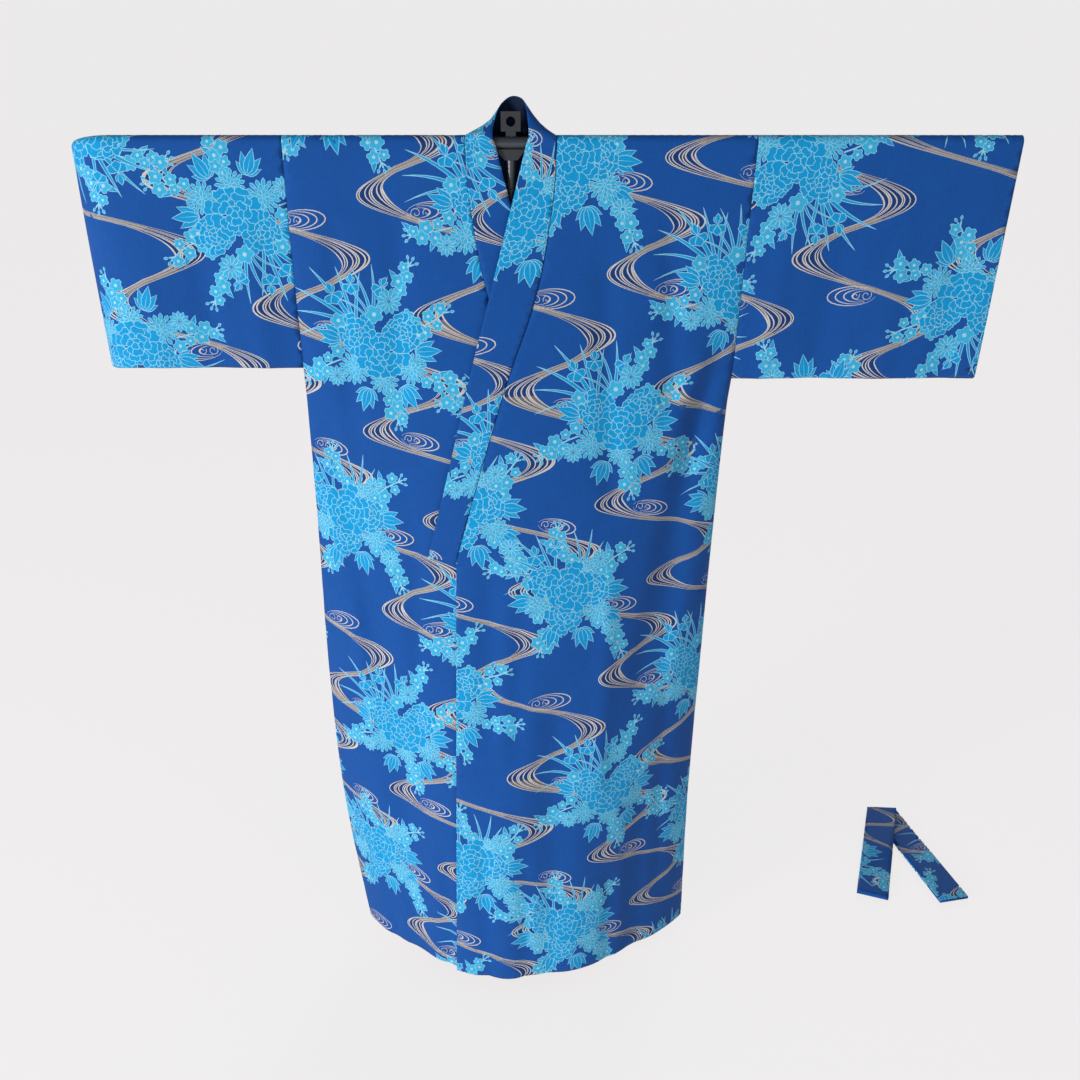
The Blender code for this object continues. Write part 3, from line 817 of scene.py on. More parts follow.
def chains_of(borders, fixed):
    """The borders joined into chains that run from one crossing or fixed point to the next."""
    steps = {}
    for (start, end), inks in borders.items():
        steps.setdefault(start, []).append((end, inks))
        steps.setdefault(end, []).append((start, inks[::-1]))
    stops = {point for point, ways in steps.items() if len(ways) != 2 or point in fixed}
    seen, chains = set(), []
    for start in list(stops) + list(steps):
        for end, inks in steps[start]:
            if (start, end) in seen:
                continue
            chain = [start, end]
            seen |= {(start, end), (end, start)}
            while chain[-1] not in stops and chain[-1] != start:
                ways = [way for way, _ in steps[chain[-1]] if (chain[-1], way) not in seen]
                if not ways:
                    break
                seen |= {(chain[-1], ways[0]), (ways[0], chain[-1])}
                chain.append(ways[0])
            chains.append((chain, inks))
    return chains


def simplify(flat, chain, tolerance):
    """The chain with the points left out that are nearly on a straight line."""
    low, high = flat[chain[0]], flat[chain[-1]]
    if len(chain) < 3:
        return chain
    span = high - low
    length = math.hypot(*span)
    rest = flat[chain[1:-1]] - low
    if length > 1e-9:
        off = np.abs(rest[:, 0] * span[1] - rest[:, 1] * span[0]) / length
    else:
        off = np.hypot(rest[:, 0], rest[:, 1])
    if off.max() <= tolerance and length <= LONGEST_EDGE:
        return [chain[0], chain[-1]]
    split = int(off.argmax()) + 1 if off.max() > tolerance else len(chain) // 2
    return simplify(flat, chain[: split + 1], tolerance)[:-1] + simplify(flat, chain[split:], tolerance)


def printed_triangles(outline, polygons, grid, tolerance):
    """The panel's triangles after all that lies hidden under another ink has been left out."""
    flat, kept, border = triangulate(outline, polygons)
    edges, sides = [], []
    for chain, inks in chains_of(ink_borders(kept), border):
        line = simplify(flat, chain, tolerance * (WATER_SHARE if WATER in inks else 1.0))
        edges += list(zip(line, line[1:]))
        sides += [inks] * (len(line) - 1)
    used = sorted({point for edge in edges for point in edge})
    place = {old: new for new, old in enumerate(used)}
    edges = [(place[start], place[end]) for start, end in edges]
    points = [Vector(flat[old]) for old in used] + [Vector(point) for point in grid]
    whole = list(range(len(points), len(points) + len(outline)))
    points += [Vector(point) for point in outline]
    found, lines, faces, _, origins, owners = delaunay_2d_cdt(points, edges, [whole], 0, SAME_POINT, True)
    faces = [face for face, owner in zip(faces, owners) if owner]
    left = {}
    for (start, end), origin in zip(lines, origins):
        printed = [number for number in origin if number < len(edges)]
        if not printed:
            continue
        one, two = edges[printed[0]]
        inks = sides[printed[0]]
        forward = (found[end] - found[start]).dot(points[two] - points[one]) > 0
        left[start, end], left[end, start] = inks if forward else inks[::-1]
    return fill_inks([point[:] for point in found], faces, left)


def without_spares(found, faces):
    """The points that the faces use, the faces with their new numbers, and where each point went."""
    used = sorted({corner for face in faces for corner in face})
    place = {old: new for new, old in enumerate(used)}
    flat = np.array([found[old][:] for old in used])
    return flat, [[place[corner] for corner in face] for face in faces], place


def fill_inks(found, faces, left):
    """Gives every region between borders the ink that most of its border names."""
    owner = {}
    for number, (one, two, three) in enumerate(faces):
        owner[one, two] = owner[two, three] = owner[three, one] = number
    inks = [None] * len(faces)
    for first in range(len(faces)):
        if inks[first] is not None:
            continue
        inks[first], region, votes = GROUND, [first], {}
        for number in region:
            one, two, three = faces[number]
            for start, end in ((one, two), (two, three), (three, one)):
                other = owner.get((end, start))
                if (start, end) in left:
                    ink = left[start, end]
                    votes[ink] = votes.get(ink, 0.0) + math.dist(found[start], found[end])
                elif other is not None and inks[other] is None:
                    inks[other] = GROUND
                    region.append(other)
        votes.pop(OUTSIDE, None)
        if votes:
            ink = max(votes, key=votes.get)
            for number in region:
                inks[number] = ink
    flat, faces, _ = without_spares(found, faces)
    return flat, faces, inks


def plain_triangles(outline, grid):
    """Triangles inside the outline with no print, and where each point of the outline went."""
    points = [Vector(point) for point in outline] + [Vector(point) for point in grid]
    face = [list(range(len(outline)))]
    found, _, faces, origins, _, owners = delaunay_2d_cdt(points, [], face, 0, SAME_POINT, True)
    kept = [corners for corners, owner in zip(faces, owners) if owner]
    flat, kept, place = without_spares(found, kept)
    moved = {old: place[new] for new in place for old in origins[new] if old < len(outline)}
    return flat, kept, moved


def spread_points(outline, spacing, fine_rows=()):
    """A slightly staggered grid over the outline's box, with extra rows where the cloth bends tightly."""
    low, high = outline.min(axis=0), outline.max(axis=0)
    rows = sorted(set(np.arange(low[1] + spacing / 2, high[1], spacing)) | set(fine_rows))
    points = []
    for number, along_row in enumerate(rows):
        stagger = spacing / 4 * (-1) ** number
        places = np.arange(low[0] + spacing / 2 + stagger, high[0], spacing)
        points += [(across, along_row) for across in places]
    return points


def edge_loop(faces):
    """The outline of a sheet of triangles, as one loop of point numbers."""
    sides = dict.fromkeys(side for face in faces for side in zip(face, face[1:] + face[:1]))
    steps = {start: end for start, end in sides if (end, start) not in sides}
    start = next(iter(steps))
    loop = [start]
    while steps[loop[-1]] != start:
        loop.append(steps[loop[-1]])
    return loop


# %% Hang a printed piece
def normals_of(hang, flat):
    step = 0.0004
    across = hang(flat + (step, 0)) - hang(flat - (step, 0))
    run = hang(flat + (0, step)) - hang(flat - (0, step))
    normal = np.cross(across, run)
    return normal / np.maximum(np.linalg.norm(normal, axis=1, keepdims=True), 1e-12)


def loop_corners(mesh):
    corners = np.empty(len(mesh.loops), dtype=np.int32)
    mesh.loops.foreach_get("vertex_index", corners)
    return corners


def add_object(name, mesh):
    made = bpy.data.objects.new(name, mesh)
    bpy.context.scene.collection.objects.link(made)
    return made


def make_piece(name, points, faces, inks, reverse, flat):
    """A smooth mesh with each face's ink, whether it is the reverse, and the flat cloth as a map."""
    mesh = bpy.data.meshes.new(name)
    mesh.from_pydata(points.tolist(), [], faces)
    for label, values in (("ink", inks), ("reverse", reverse)):
        layer = mesh.attributes.new(label, "FLOAT", "FACE")
        layer.data.foreach_set("value", np.array(values, dtype=np.float32))
    cloth_map = mesh.uv_layers.new(name="cloth")
    cloth_map.data.foreach_set("uv", flat[loop_corners(mesh)].astype(np.float32).ravel())
    mesh.polygons.foreach_set("use_smooth", [True] * len(mesh.polygons))
    return add_object(name, mesh)


COLUMN_GAP, REVERSE_SHARE, RIM_SQUARE = 0.01, 8, 0.012


def add_bake_map(mesh, flat, printed, plain):
    """A second map for textures: the print in columns side by side, then the reverse and rim, small."""
    low, (wide, long) = flat.min(axis=0), np.ptp(flat, axis=0)
    step, small = wide + COLUMN_GAP, wide / REVERSE_SHARE
    columns = min(range(1, 9), key=lambda count: max(count * step + small, long / count))
    side = max(columns * step + small, long / columns) + 0.05
    corners = loop_corners(mesh)
    starts, totals = (np.zeros(len(mesh.polygons), np.int32) for _ in range(2))
    mesh.polygons.foreach_get("loop_start", starts)
    mesh.polygons.foreach_get("loop_total", totals)
    owner, place = np.repeat(np.arange(len(totals)), totals), flat[corners] - low
    middle = np.add.reduceat(place[:, 1], starts) / totals
    column = np.clip(middle / long * columns, 0, columns - 1).astype(int)[owner]
    spots = place + np.stack([column * step, 0.02 - column * long / columns], axis=1)
    reverse, rim = owner >= printed, owner >= printed + plain
    spots[reverse] = place[reverse] / REVERSE_SHARE + (columns * step, 0.0)
    square = np.array(((0, 0), (1, 0), (1, 1), (0, 1))) * RIM_SQUARE
    corner = (np.arange(len(corners)) - starts[owner])[rim] % 4
    spots[rim] = square[corner] + (columns * step, side - 0.02)
    mesh.uv_layers.new(name="OFBake").data.foreach_set("uv", (spots / side).astype(np.float32).ravel())


def printed_piece(name, outline, hang, cloth_print, spacing=GRID_SPACING, fine_rows=()):
    """One cut piece: its printed face, its plain reverse and its rim, as a closed mesh."""
    outline = np.array(outline)
    grid = spread_points(outline, spacing, fine_rows)
    shapes = laid_print(outline, cloth_print)
    flat, faces, inks = printed_triangles(outline, shapes, grid, PRINT_TOLERANCE)
    loop = edge_loop(faces)
    back_flat, back_faces, matching = plain_triangles(flat[loop], grid)
    back_points = hang(back_flat) - normals_of(hang, back_flat) * CLOTH
    count = len(flat)
    rim = []
    for index, start in enumerate(loop):
        following = (index + 1) % len(loop)
        rim.append([loop[following], start, count + matching[index], count + matching[following]])
    reverse = [[count + corner for corner in face[::-1]] for face in back_faces]
    inks = inks + [GROUND] * (len(reverse) + len(rim))
    sides = [0.0] * len(faces) + [1.0] * len(reverse) + [0.0] * len(rim)
    points = np.vstack([hang(flat), back_points])
    both = np.vstack([flat, back_flat])
    piece = make_piece(name, points, faces + reverse + rim, inks, sides, both)
    add_bake_map(piece.data, both, len(faces), len(reverse))
    area = sum(polygon.area for polygon in list(piece.data.polygons)[: len(faces)])
    print(f"{name}: {len(faces)} printed triangles, {area:.3f} square metres, rim {len(rim)}")
    return piece


# %% [markdown]
# ## The cotton
# Yukata cotton is a plain weave of slightly uneven yarn, printed on one side. Close up it has fine
# ribs both ways, thicker yarns here and there, and a very slight sheen. One node group makes the
# weave's height and its tone from the cloth's own coordinates, and every cotton material uses it.

# %% The weave group
def new_group(name, inputs, outputs):
    group = bpy.data.node_groups.new(name, "ShaderNodeTree")
    for way, sockets in (("INPUT", inputs), ("OUTPUT", outputs)):
        for label, kind in sockets.items():
            group.interface.new_socket(label, in_out=way, socket_type=f"NodeSocket{kind}")
    return group, group.nodes.new("NodeGroupInput"), group.nodes.new("NodeGroupOutput")


def add_node(tree, kind, settings=None, links=None):
    """A node with its settings, and its inputs either linked or set."""
    node = tree.nodes.new(kind)
    for label, value in (settings or {}).items():
        setattr(node, label, value)
    for label, value in (links or {}).items():
        if isinstance(value, bpy.types.NodeSocket):
            tree.links.new(value, node.inputs[label])
        else:
            node.inputs[label].default_value = value
    return node


def compute(tree, operation, *values):
    """A maths node: its inputs are sockets or numbers, and its result is returned."""
    return add_node(tree, "ShaderNodeMath", {"operation": operation}, dict(enumerate(values))).outputs[0]


def slub(tree, place, stretch, detail):
    """Long soft streaks along one yarn direction."""
    links = {"Vector": place, "Scale": stretch}
    mapped = add_node(tree, "ShaderNodeMapping", {"vector_type": "POINT"}, links)
    links = {"Vector": mapped.outputs["Vector"], "Scale": 1.0, "Detail": detail, "Roughness": 0.6}
    return add_node(tree, "ShaderNodeTexNoise", None, links).outputs["Fac"]


def make_weave_group():
    group, inside, outside = new_group(
        "cotton_weave",
        {"Cloth": "Vector", "Yarns per metre": "Float", "Unevenness": "Float"},
        {"Height": "Float", "Tone": "Float"},
    )
    place = inside.outputs["Cloth"]
    split = add_node(group, "ShaderNodeSeparateXYZ", None, {"Vector": place})
    ribs = []
    for axis in ("X", "Y"):
        turns = compute(group, "MULTIPLY", split.outputs[axis], inside.outputs["Yarns per metre"])
        ribs.append(compute(group, "SINE", compute(group, "MULTIPLY", turns, 2 * math.pi)))
    weft = slub(group, place, (60.0, 1400.0, 1.0), 2.0)
    warp = slub(group, place, (1400.0, 45.0, 1.0), 2.0)
    cloudy = slub(group, place, (22.0, 16.0, 1.0), 3.0)
    yarns = compute(group, "ADD", weft, warp)
    over = compute(group, "MULTIPLY", *ribs)
    height = compute(group, "MULTIPLY_ADD", over, 0.35, yarns)
    clouds = compute(group, "MULTIPLY_ADD", cloudy, 0.16, 0.92)
    centred = compute(group, "SUBTRACT", yarns, 1.0)
    tone = compute(group, "MULTIPLY_ADD", centred, inside.outputs["Unevenness"], clouds)
    group.links.new(height, outside.inputs["Height"])
    group.links.new(tone, outside.inputs["Tone"])
    return group


WEAVE = make_weave_group()

# %% [markdown]
# ## The printed colours
# The ink number on each face picks one flat colour, as the stencils do, and the reverse shows the
# ground only, a little paler. The collar's reverse is near-black navy instead: painted shade for the
# dark inside of the neck. The tone of the weave then multiplies it, so no area is quite even.

# %% The printed cotton
def new_material(name, **settings):
    """A material with its node tree and its shader, which takes each setting under its plain name."""
    material = bpy.data.materials.new(name)
    material.use_nodes = True
    shader = material.node_tree.nodes["Principled BSDF"]
    for label, value in settings.items():
        shader.inputs[label.replace("_", " ")].default_value = value
    return material, material.node_tree, shader


def add_bump(tree, shader, height, strength, distance):
    links = {"Height": height, "Strength": strength, "Distance": distance}
    bump = add_node(tree, "ShaderNodeBump", None, links)
    tree.links.new(bump.outputs["Normal"], shader.inputs["Normal"])


INK_COLOURS = {
    GROUND: (0.0040, 0.0780, 0.3450),
    DEEP: (0.0030, 0.0400, 0.1800),
    SILT: (0.1500, 0.1450, 0.1700),
    WATER: (0.6200, 0.5800, 0.5500),
    LINE: (0.2600, 0.6200, 0.8200),
    FILL: (0.0010, 0.3100, 0.6700),
    SOFT: (0.0400, 0.4300, 0.7400),
    PALE: (0.3600, 0.6600, 0.8200),
}


COLOUR_A, COLOUR_B, MIXED_COLOUR = 6, 7, 2


def printed_cotton(name, reverse=(0.020, 0.100, 0.330), yarns=1500.0):
    material, tree, shader = new_material(
        name, Roughness=0.78, Sheen_Weight=0.04, Sheen_Roughness=0.45, Specular_IOR_Level=0.15
    )
    cloth = add_node(tree, "ShaderNodeUVMap", {"uv_map": "cloth"})
    links = {"Cloth": cloth.outputs["UV"], "Yarns per metre": yarns, "Unevenness": 0.55}
    weave = add_node(tree, "ShaderNodeGroup", {"node_tree": WEAVE}, links)
    ink = add_node(tree, "ShaderNodeAttribute", {"attribute_name": "ink"})
    share = compute(tree, "DIVIDE", ink.outputs["Fac"], float(len(INK_COLOURS)))
    inks = add_node(tree, "ShaderNodeValToRGB", None, {"Fac": share})
    inks.color_ramp.interpolation = "CONSTANT"
    for number, colour in INK_COLOURS.items():
        place = max((number - 0.5) / len(INK_COLOURS), 0.0)
        stop = inks.color_ramp.elements[0] if number == 0 else inks.color_ramp.elements.new(place)
        stop.color = (*colour, 1)
    inks.color_ramp.elements.remove(inks.color_ramp.elements[-1])
    side = add_node(tree, "ShaderNodeAttribute", {"attribute_name": "reverse"})
    links = {"Factor": side.outputs["Fac"], COLOUR_A: inks.outputs["Color"], COLOUR_B: (*reverse, 1)}
    sided = add_node(tree, "ShaderNodeMix", {"data_type": "RGBA"}, links).outputs[MIXED_COLOUR]
    links = {"Vector": sided, "Scale": weave.outputs["Tone"]}
    toned = add_node(tree, "ShaderNodeVectorMath", {"operation": "SCALE"}, links)
    tree.links.new(toned.outputs["Vector"], shader.inputs["Base Color"])
    add_bump(tree, shader, weave.outputs["Height"], 0.35, 0.0004)
    return material


# %% [markdown]
# ## Stitches
# The robe is sewn by machine and by hand: a running row near each front edge, cuff, collar seam and
# belt end, and short hemming stitches above the hem. Painted dashes would look flat from close by, so
# each stitch is a small capsule of thread that dips into the cloth at both ends.

# %% Thread and rows of stitches
def make_thread():
    material, tree, shader = new_material("blue_cotton_thread", Roughness=0.62, Sheen_Weight=0.05)
    place = add_node(tree, "ShaderNodeTexCoord").outputs["Object"]
    twist = add_node(tree, "ShaderNodeTexNoise", None, {"Vector": place, "Scale": 2600.0, "Detail": 2.0})
    tones = add_node(tree, "ShaderNodeValToRGB", None, {"Fac": twist.outputs["Fac"]})
    tones.color_ramp.elements[0].color = (0.004, 0.045, 0.210, 1)
    tones.color_ramp.elements[1].color = (0.030, 0.160, 0.470, 1)
    tree.links.new(tones.outputs["Color"], shader.inputs["Base Color"])
    add_bump(tree, shader, twist.outputs["Fac"], 0.5, 0.0002)
    return material


THREAD = make_thread()
CAPSULE = ((-0.50, 0.20, -0.5), (-0.36, 0.90, 0.1), (0.0, 1.0, 0.45), (0.36, 0.90, 0.1), (0.50, 0.20, -0.5))


def run_lengths(path):
    """How far along a path each of its points lies."""
    return np.concatenate([[0.0], np.cumsum(np.linalg.norm(np.diff(path, axis=0), axis=1))])


def stitch_centres(hang, path, places):
    """Where the stitches lie on the hanging cloth, with its outward normal and the row's direction."""
    lengths = run_lengths(path)
    here, there = (
        np.stack([np.interp(at, lengths, column) for column in path.T], axis=1)
        for at in (places, places + 0.0005)
    )
    ahead = hang(there) - hang(here)
    ahead /= np.linalg.norm(ahead, axis=1, keepdims=True)
    return hang(here), normals_of(hang, here), ahead


def sew(name, slot, hang, paths, pitch=0.0065, length=0.0042, thick=0.00032):
    """One object with every stitch of the rows, as five-sided capsules."""
    rings = []
    for share, girth, lift in CAPSULE:
        row = []
        for path in paths:
            path = np.array(path)
            whole = run_lengths(path)[-1]
            places = np.arange(pitch / 2, whole - pitch / 2, pitch) + share * length
            centre, normal, ahead = stitch_centres(hang, path, places)
            beside = np.cross(normal, ahead)
            middle = centre + normal * thick * lift
            turns = [2 * math.pi * step / 5 for step in range(5)]
            ring = [beside * math.cos(turn) + normal * math.sin(turn) for turn in turns]
            row.append(np.stack([middle + side * thick * girth for side in ring], axis=1))
        rings.append(np.concatenate(row))
    points = np.stack(rings, axis=1).reshape(-1, 3)
    faces = []
    for first in range(0, len(points), 25):
        faces += [[first + step for step in range(4, -1, -1)], [first + 20 + step for step in range(5)]]
        for ring in range(4):
            for step in range(5):
                low, after = first + ring * 5 + step, first + ring * 5 + (step + 1) % 5
                faces.append([low, after, after + 5, low + 5])
    mesh = bpy.data.meshes.new(name)
    mesh.from_pydata(points.tolist(), [], faces)
    mesh.polygons.foreach_set("use_smooth", [True] * len(faces))
    mesh.materials.append(THREAD)
    piece = add_object(name, mesh)
    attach(piece, "root")
    print(f"{name}: {len(points) // 25} stitches")
    return piece


# %% [markdown]
# ## Body lengths
# Each length runs from the front hem over the shoulder to the back hem, with the neck cut out of it.
# The wearer's left length is on top in front, and the right one lies a few millimetres behind it.

# %% Cut and hang the two body lengths
STEP = 0.010
TIGHT_ROWS = tuple(np.round(np.arange(-0.0175, 0.0176, 0.0025), 4))
STITCH_INSET = 0.0045


def run_at(height):
    return ROD_ARC + ROD_HEIGHT - height


def body_outline(side):
    """The flat cut of a body length, anticlockwise, for the +X side or mirrored for the other."""
    heights = np.arange(HEM, ROD_HEIGHT, STEP)
    inner = [x_to_across("front", side * front_edge(height), height) * side for height in heights]
    edges = [WALLS[wall][2] if side > 0 else -WALLS[wall][1] for wall in ("front", "back")]
    outer, outer_back = (np.interp(heights, HEIGHTS, edge) - SEAM_GAP / 2 for edge in edges)
    runs = [run_at(height) for height in heights]
    line = [(across, -run) for across, run in zip(inner, runs)][::-1]
    hem = np.linspace(inner[0], outer[0], 40)[1:-1]
    line += [(across, -runs[0]) for across in hem]
    line += [(across, -run) for across, run in zip(outer, runs)]
    line += [(outer[-1], run) for run in TIGHT_ROWS]
    line += [(across, run) for across, run in zip(outer_back, runs)][::-1]
    back_hem = np.linspace(outer_back[0], SEAM_GAP / 2, 34)[1:-1]
    line += [(across, runs[0]) for across in back_hem]
    line += [(SEAM_GAP / 2, run) for run in runs]
    line += [(SEAM_GAP / 2, run) for run in TIGHT_ROWS[::-1] if run > 0]
    line += [(across, 0.0) for across in np.linspace(SEAM_GAP / 2, NECK_HALF, 14)]
    line += [(NECK_HALF, run) for run in TIGHT_ROWS[::-1] if run < 0]
    placed = [(side * across, run) for across, run in line]
    return placed if side > 0 else placed[::-1]


def body_rows(side):
    """The front edge's row from the hem to the collar, then both hems."""
    heights = np.arange(HEM + 0.006, COLLAR_FOOT - 0.004, STEP)
    edge = [x_to_across("front", side * front_edge(height), height) for height in heights]
    edge = [across + side * STITCH_INSET for across in edge]
    rows = [[(across, -run_at(height)) for across, height in zip(edge, heights)]]
    for wall, sign in (("front", -1), ("back", 1)):
        sewn = HEM + 0.011
        start = edge[0] if wall == "front" else side * 0.004
        end = WALLS[wall][2 if side > 0 else 1][0] - side * 0.004
        rows.append([(across, sign * run_at(sewn)) for across in np.linspace(start, end, 60)])
    return rows


body_prints = {1: Print(0.115, -0.395, False), -1: Print(-0.235, -0.290, False)}
BODIES = (("body_left", 1, "upper"), ("body_right", -1, "under"))
lengths = []
for node, side, layer in BODIES:
    outline, cloth_print = body_outline(side), body_prints[side]
    hang = hang_body(layer)
    lengths.append(printed_piece(f"robe_{node}", outline, hang, cloth_print, fine_rows=TIGHT_ROWS))
for piece, (node, side, layer) in zip(lengths, BODIES):
    piece.data.materials.append(printed_cotton(f"printed_cotton_{node}"))
    thread = sew(f"{node}_stitches", node, hang_body(layer), body_rows(side))
    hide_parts(node)
    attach(piece, "root")

# %% [markdown]
# ## Sleeves
# Each sleeve is one width of cloth folded over the rod and sewn along its foot, so it hangs as a flat
# tube with an open cuff. It runs on over the shoulder like the body does, so the print stands the
# other way up in front. The wearer's right cuff curls forward out of the packing folds.

# %% Cut and hang the two sleeves
Sleeve = namedtuple("Sleeve", "name side length bottom curl_radius curl_length droop")
SLEEVES = (
    Sleeve("sleeve_left", 1, 0.362, 1.060, 0.0, 0.0, 0.0),
    Sleeve("sleeve_right", -1, 0.345, 1.076, 0.065, 0.108, 0.010),
)
SLEEVE_FOOT_HALF = 0.005

Sway = namedtuple("Sway", "sleeve top_reach foot_reach width depth")
SWAYS = tuple(Sway(*row) for row in (
    ("sleeve_left", 0.060, 0.040, 0.020, -0.0035),
    ("sleeve_left", 0.150, 0.120, 0.026, 0.0045),
    ("sleeve_left", 0.225, 0.215, 0.018, -0.0030),
    ("sleeve_left", 0.300, 0.310, 0.024, 0.0035),
    ("sleeve_right", 0.070, 0.050, 0.020, -0.0035),
    ("sleeve_right", 0.140, 0.130, 0.022, 0.0040),
    ("sleeve_right", 0.205, 0.210, 0.016, -0.0025),
))


def sway(sleeve, reach, height):
    """How far both walls of a sleeve swing together, out of the rod's plane."""
    hung = smooth(ROD_HEIGHT - height, 0.03, 0.20) * smooth(reach, 0.0, 0.06)
    total = np.zeros_like(reach)
    for row in SWAYS:
        if row.sleeve == sleeve.name:
            share = (ROD_HEIGHT - height) / (ROD_HEIGHT - sleeve.bottom)
            middle = row.top_reach + (row.foot_reach - row.top_reach) * share
            total += row.depth * np.exp(-(((reach - middle) / row.width) ** 2))
    return total * hung


def sleeve_wall(sleeve):
    return ROD_HEIGHT - sleeve.bottom - SLEEVE_FOOT_HALF


def sleeve_half_girth(sleeve):
    return ROD_ARC + sleeve_wall(sleeve) + SLEEVE_FOOT_HALF * math.pi / 2 - SEAM_GAP / 2


def hang_sleeve(sleeve):
    wall = sleeve_wall(sleeve)

    def hang(flat):
        reach, run = sleeve.side * flat[:, 0], flat[:, 1]
        top = np.minimum(np.abs(run) / OVER_ROD, math.pi / 2)
        share = np.clip((np.abs(run) - ROD_ARC) / wall, 0, 1)
        under = np.clip((np.abs(run) - ROD_ARC - wall) / SLEEVE_FOOT_HALF, 0, math.pi / 2)
        half = OVER_ROD + (SLEEVE_FOOT_HALF - OVER_ROD) * share
        depth = np.sign(run) * half * np.sin(top) * np.cos(under)
        height = ROD_HEIGHT + OVER_ROD * np.cos(top) - wall * share - SLEEVE_FOOT_HALF * np.sin(under)
        depth = depth + sway(sleeve, reach, height)
        seam = np.abs(form("right" if sleeve.side > 0 else "left", np.minimum(height, ROD_HEIGHT)))
        straight = sleeve.length - sleeve.curl_length
        radius = max(sleeve.curl_radius, 1e-6)
        turn = np.maximum(reach - straight, 0) / radius if sleeve.curl_length else np.zeros_like(reach)
        bent = sleeve.curl_radius - depth
        out = seam + np.where(turn > 0, straight + bent * np.sin(turn), SEAM_GAP / 2 + reach)
        y = np.where(turn > 0, sleeve.curl_radius - bent * np.cos(turn), depth)
        sag = sleeve.droop * smooth(reach, straight, sleeve.length + 1e-6) * (turn > 0)
        return np.stack([sleeve.side * out, y, height - sag], axis=1)

    return hang


def sleeve_outline(sleeve):
    half = sleeve_half_girth(sleeve)
    low, high = (0, sleeve.length) if sleeve.side > 0 else (-sleeve.length, 0)
    runs = sorted(set(np.round(np.linspace(-half, half, 75), 5)) | set(TIGHT_ROWS))
    line = [(reach, -half) for reach in np.linspace(low, high, 36)[:-1]]
    line += [(high, run) for run in runs[:-1]]
    line += [(reach, half) for reach in np.linspace(high, low, 36)[:-1]]
    return line + [(low, run) for run in runs[:0:-1]]


sleeve_prints = {"sleeve_left": Print(0.10, -0.05, True), "sleeve_right": Print(-0.03, -0.12, True)}
for sleeve in SLEEVES:
    hang, cloth_print = hang_sleeve(sleeve), sleeve_prints[sleeve.name]
    outline = sleeve_outline(sleeve)
    piece = printed_piece(f"robe_{sleeve.name}", outline, hang, cloth_print, fine_rows=TIGHT_ROWS)
    piece.data.materials.append(printed_cotton(f"printed_cotton_{sleeve.name}"))
    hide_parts(sleeve.name)
    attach(piece, "root")
    girth, sewn = 2 * sleeve_half_girth(sleeve), sleeve.side * (sleeve.length - 0.009)
    cuff = [(sewn, run) for run in np.linspace(-girth / 2 + 0.004, girth / 2 - 0.004, 160)]
    thread = sew(f"{sleeve.name}_stitches", sleeve.name, hang, [cuff])

# %% [markdown]
# ## The collar band
# The collar is one straight band folded double lengthwise. It is sewn along the slanting fronts and
# round the neck, and stands up behind the nape. It is laid along a row of short cross lines that the
# fronts and the neckline give, with a smooth curve between them.

# %% The collar's cross lines
COLLAR_THICK = 0.003
COLLAR_WIDE = 0.058
NeckRow = namedtuple("NeckRow", "seam middle free")
NECK_ROWS = tuple(NeckRow(*row) for row in (
    ((0.0620, -0.0092, 1.3985), (0.0440, -0.0135, 1.4030), (0.0245, -0.0120, 1.3990)),
    ((0.0605, -0.0008, 1.4002), (0.0430, -0.0030, 1.4115), (0.0235, -0.0040, 1.4180)),
    ((0.0470, 0.0068, 1.3992), (0.0350, 0.0070, 1.4205), (0.0205, 0.0080, 1.4380)),
    ((0.0280, 0.0240, 1.3988), (0.0230, 0.0250, 1.4260), (0.0140, 0.0200, 1.4470)),
    ((0.0000, 0.0322, 1.3988), (0.0000, 0.0340, 1.4250), (0.0000, 0.0260, 1.4490)),
    ((-0.0280, 0.0240, 1.3988), (-0.0210, 0.0250, 1.4230), (-0.0130, 0.0200, 1.4400)),
    ((-0.0470, 0.0068, 1.3992), (-0.0330, 0.0070, 1.4150), (-0.0195, 0.0080, 1.4280)),
    ((-0.0605, -0.0008, 1.4002), (-0.0430, -0.0030, 1.4095), (-0.0235, -0.0040, 1.4130)),
    ((-0.0620, -0.0092, 1.3985), (-0.0440, -0.0135, 1.4015), (-0.0245, -0.0120, 1.3970)),
))


def slant_rows(side, layer):
    rows = []
    for height in np.linspace(COLLAR_FOOT, ROD_HEIGHT, 60):
        seam = side * (along(SLANTS, height, "seam") - SEAM_GAP)
        free = side * along(SLANTS, height, "free")
        x = np.array([free, (free + seam) / 2, seam])
        y = front_y(x, np.full(3, height), layer) - (COLLAR_THICK - 0.0012) / 2
        rows.append(np.stack([x, y, np.full(3, height)], axis=1))
    return rows


def curve_through(rows, steps):
    line = []
    for index in range(len(rows) - 1):
        before, here = rows[max(index - 1, 0)], rows[index]
        there, after = rows[index + 1], rows[min(index + 2, len(rows) - 1)]
        for share in np.arange(steps) / steps:
            bend = here * 2 + (there - before) * share
            bend = bend + (before * 2 - here * 5 + there * 4 - after) * share**2
            line.append((bend + (here * 3 - before - there * 3 + after) * share**3) / 2)
    return line + [rows[-1]]


upper_rows, under_rows = slant_rows(1, "upper"), slant_rows(-1, "under")[::-1]
neck_rows = [np.array([row.free, row.middle, row.seam]) for row in NECK_ROWS]
COLLAR_ROWS = np.array(
    upper_rows[:-1] + curve_through([upper_rows[-1]] + neck_rows + [under_rows[0]], 8) + under_rows[1:]
)
COLLAR_ALONG = run_lengths(COLLAR_ROWS[:, 1])


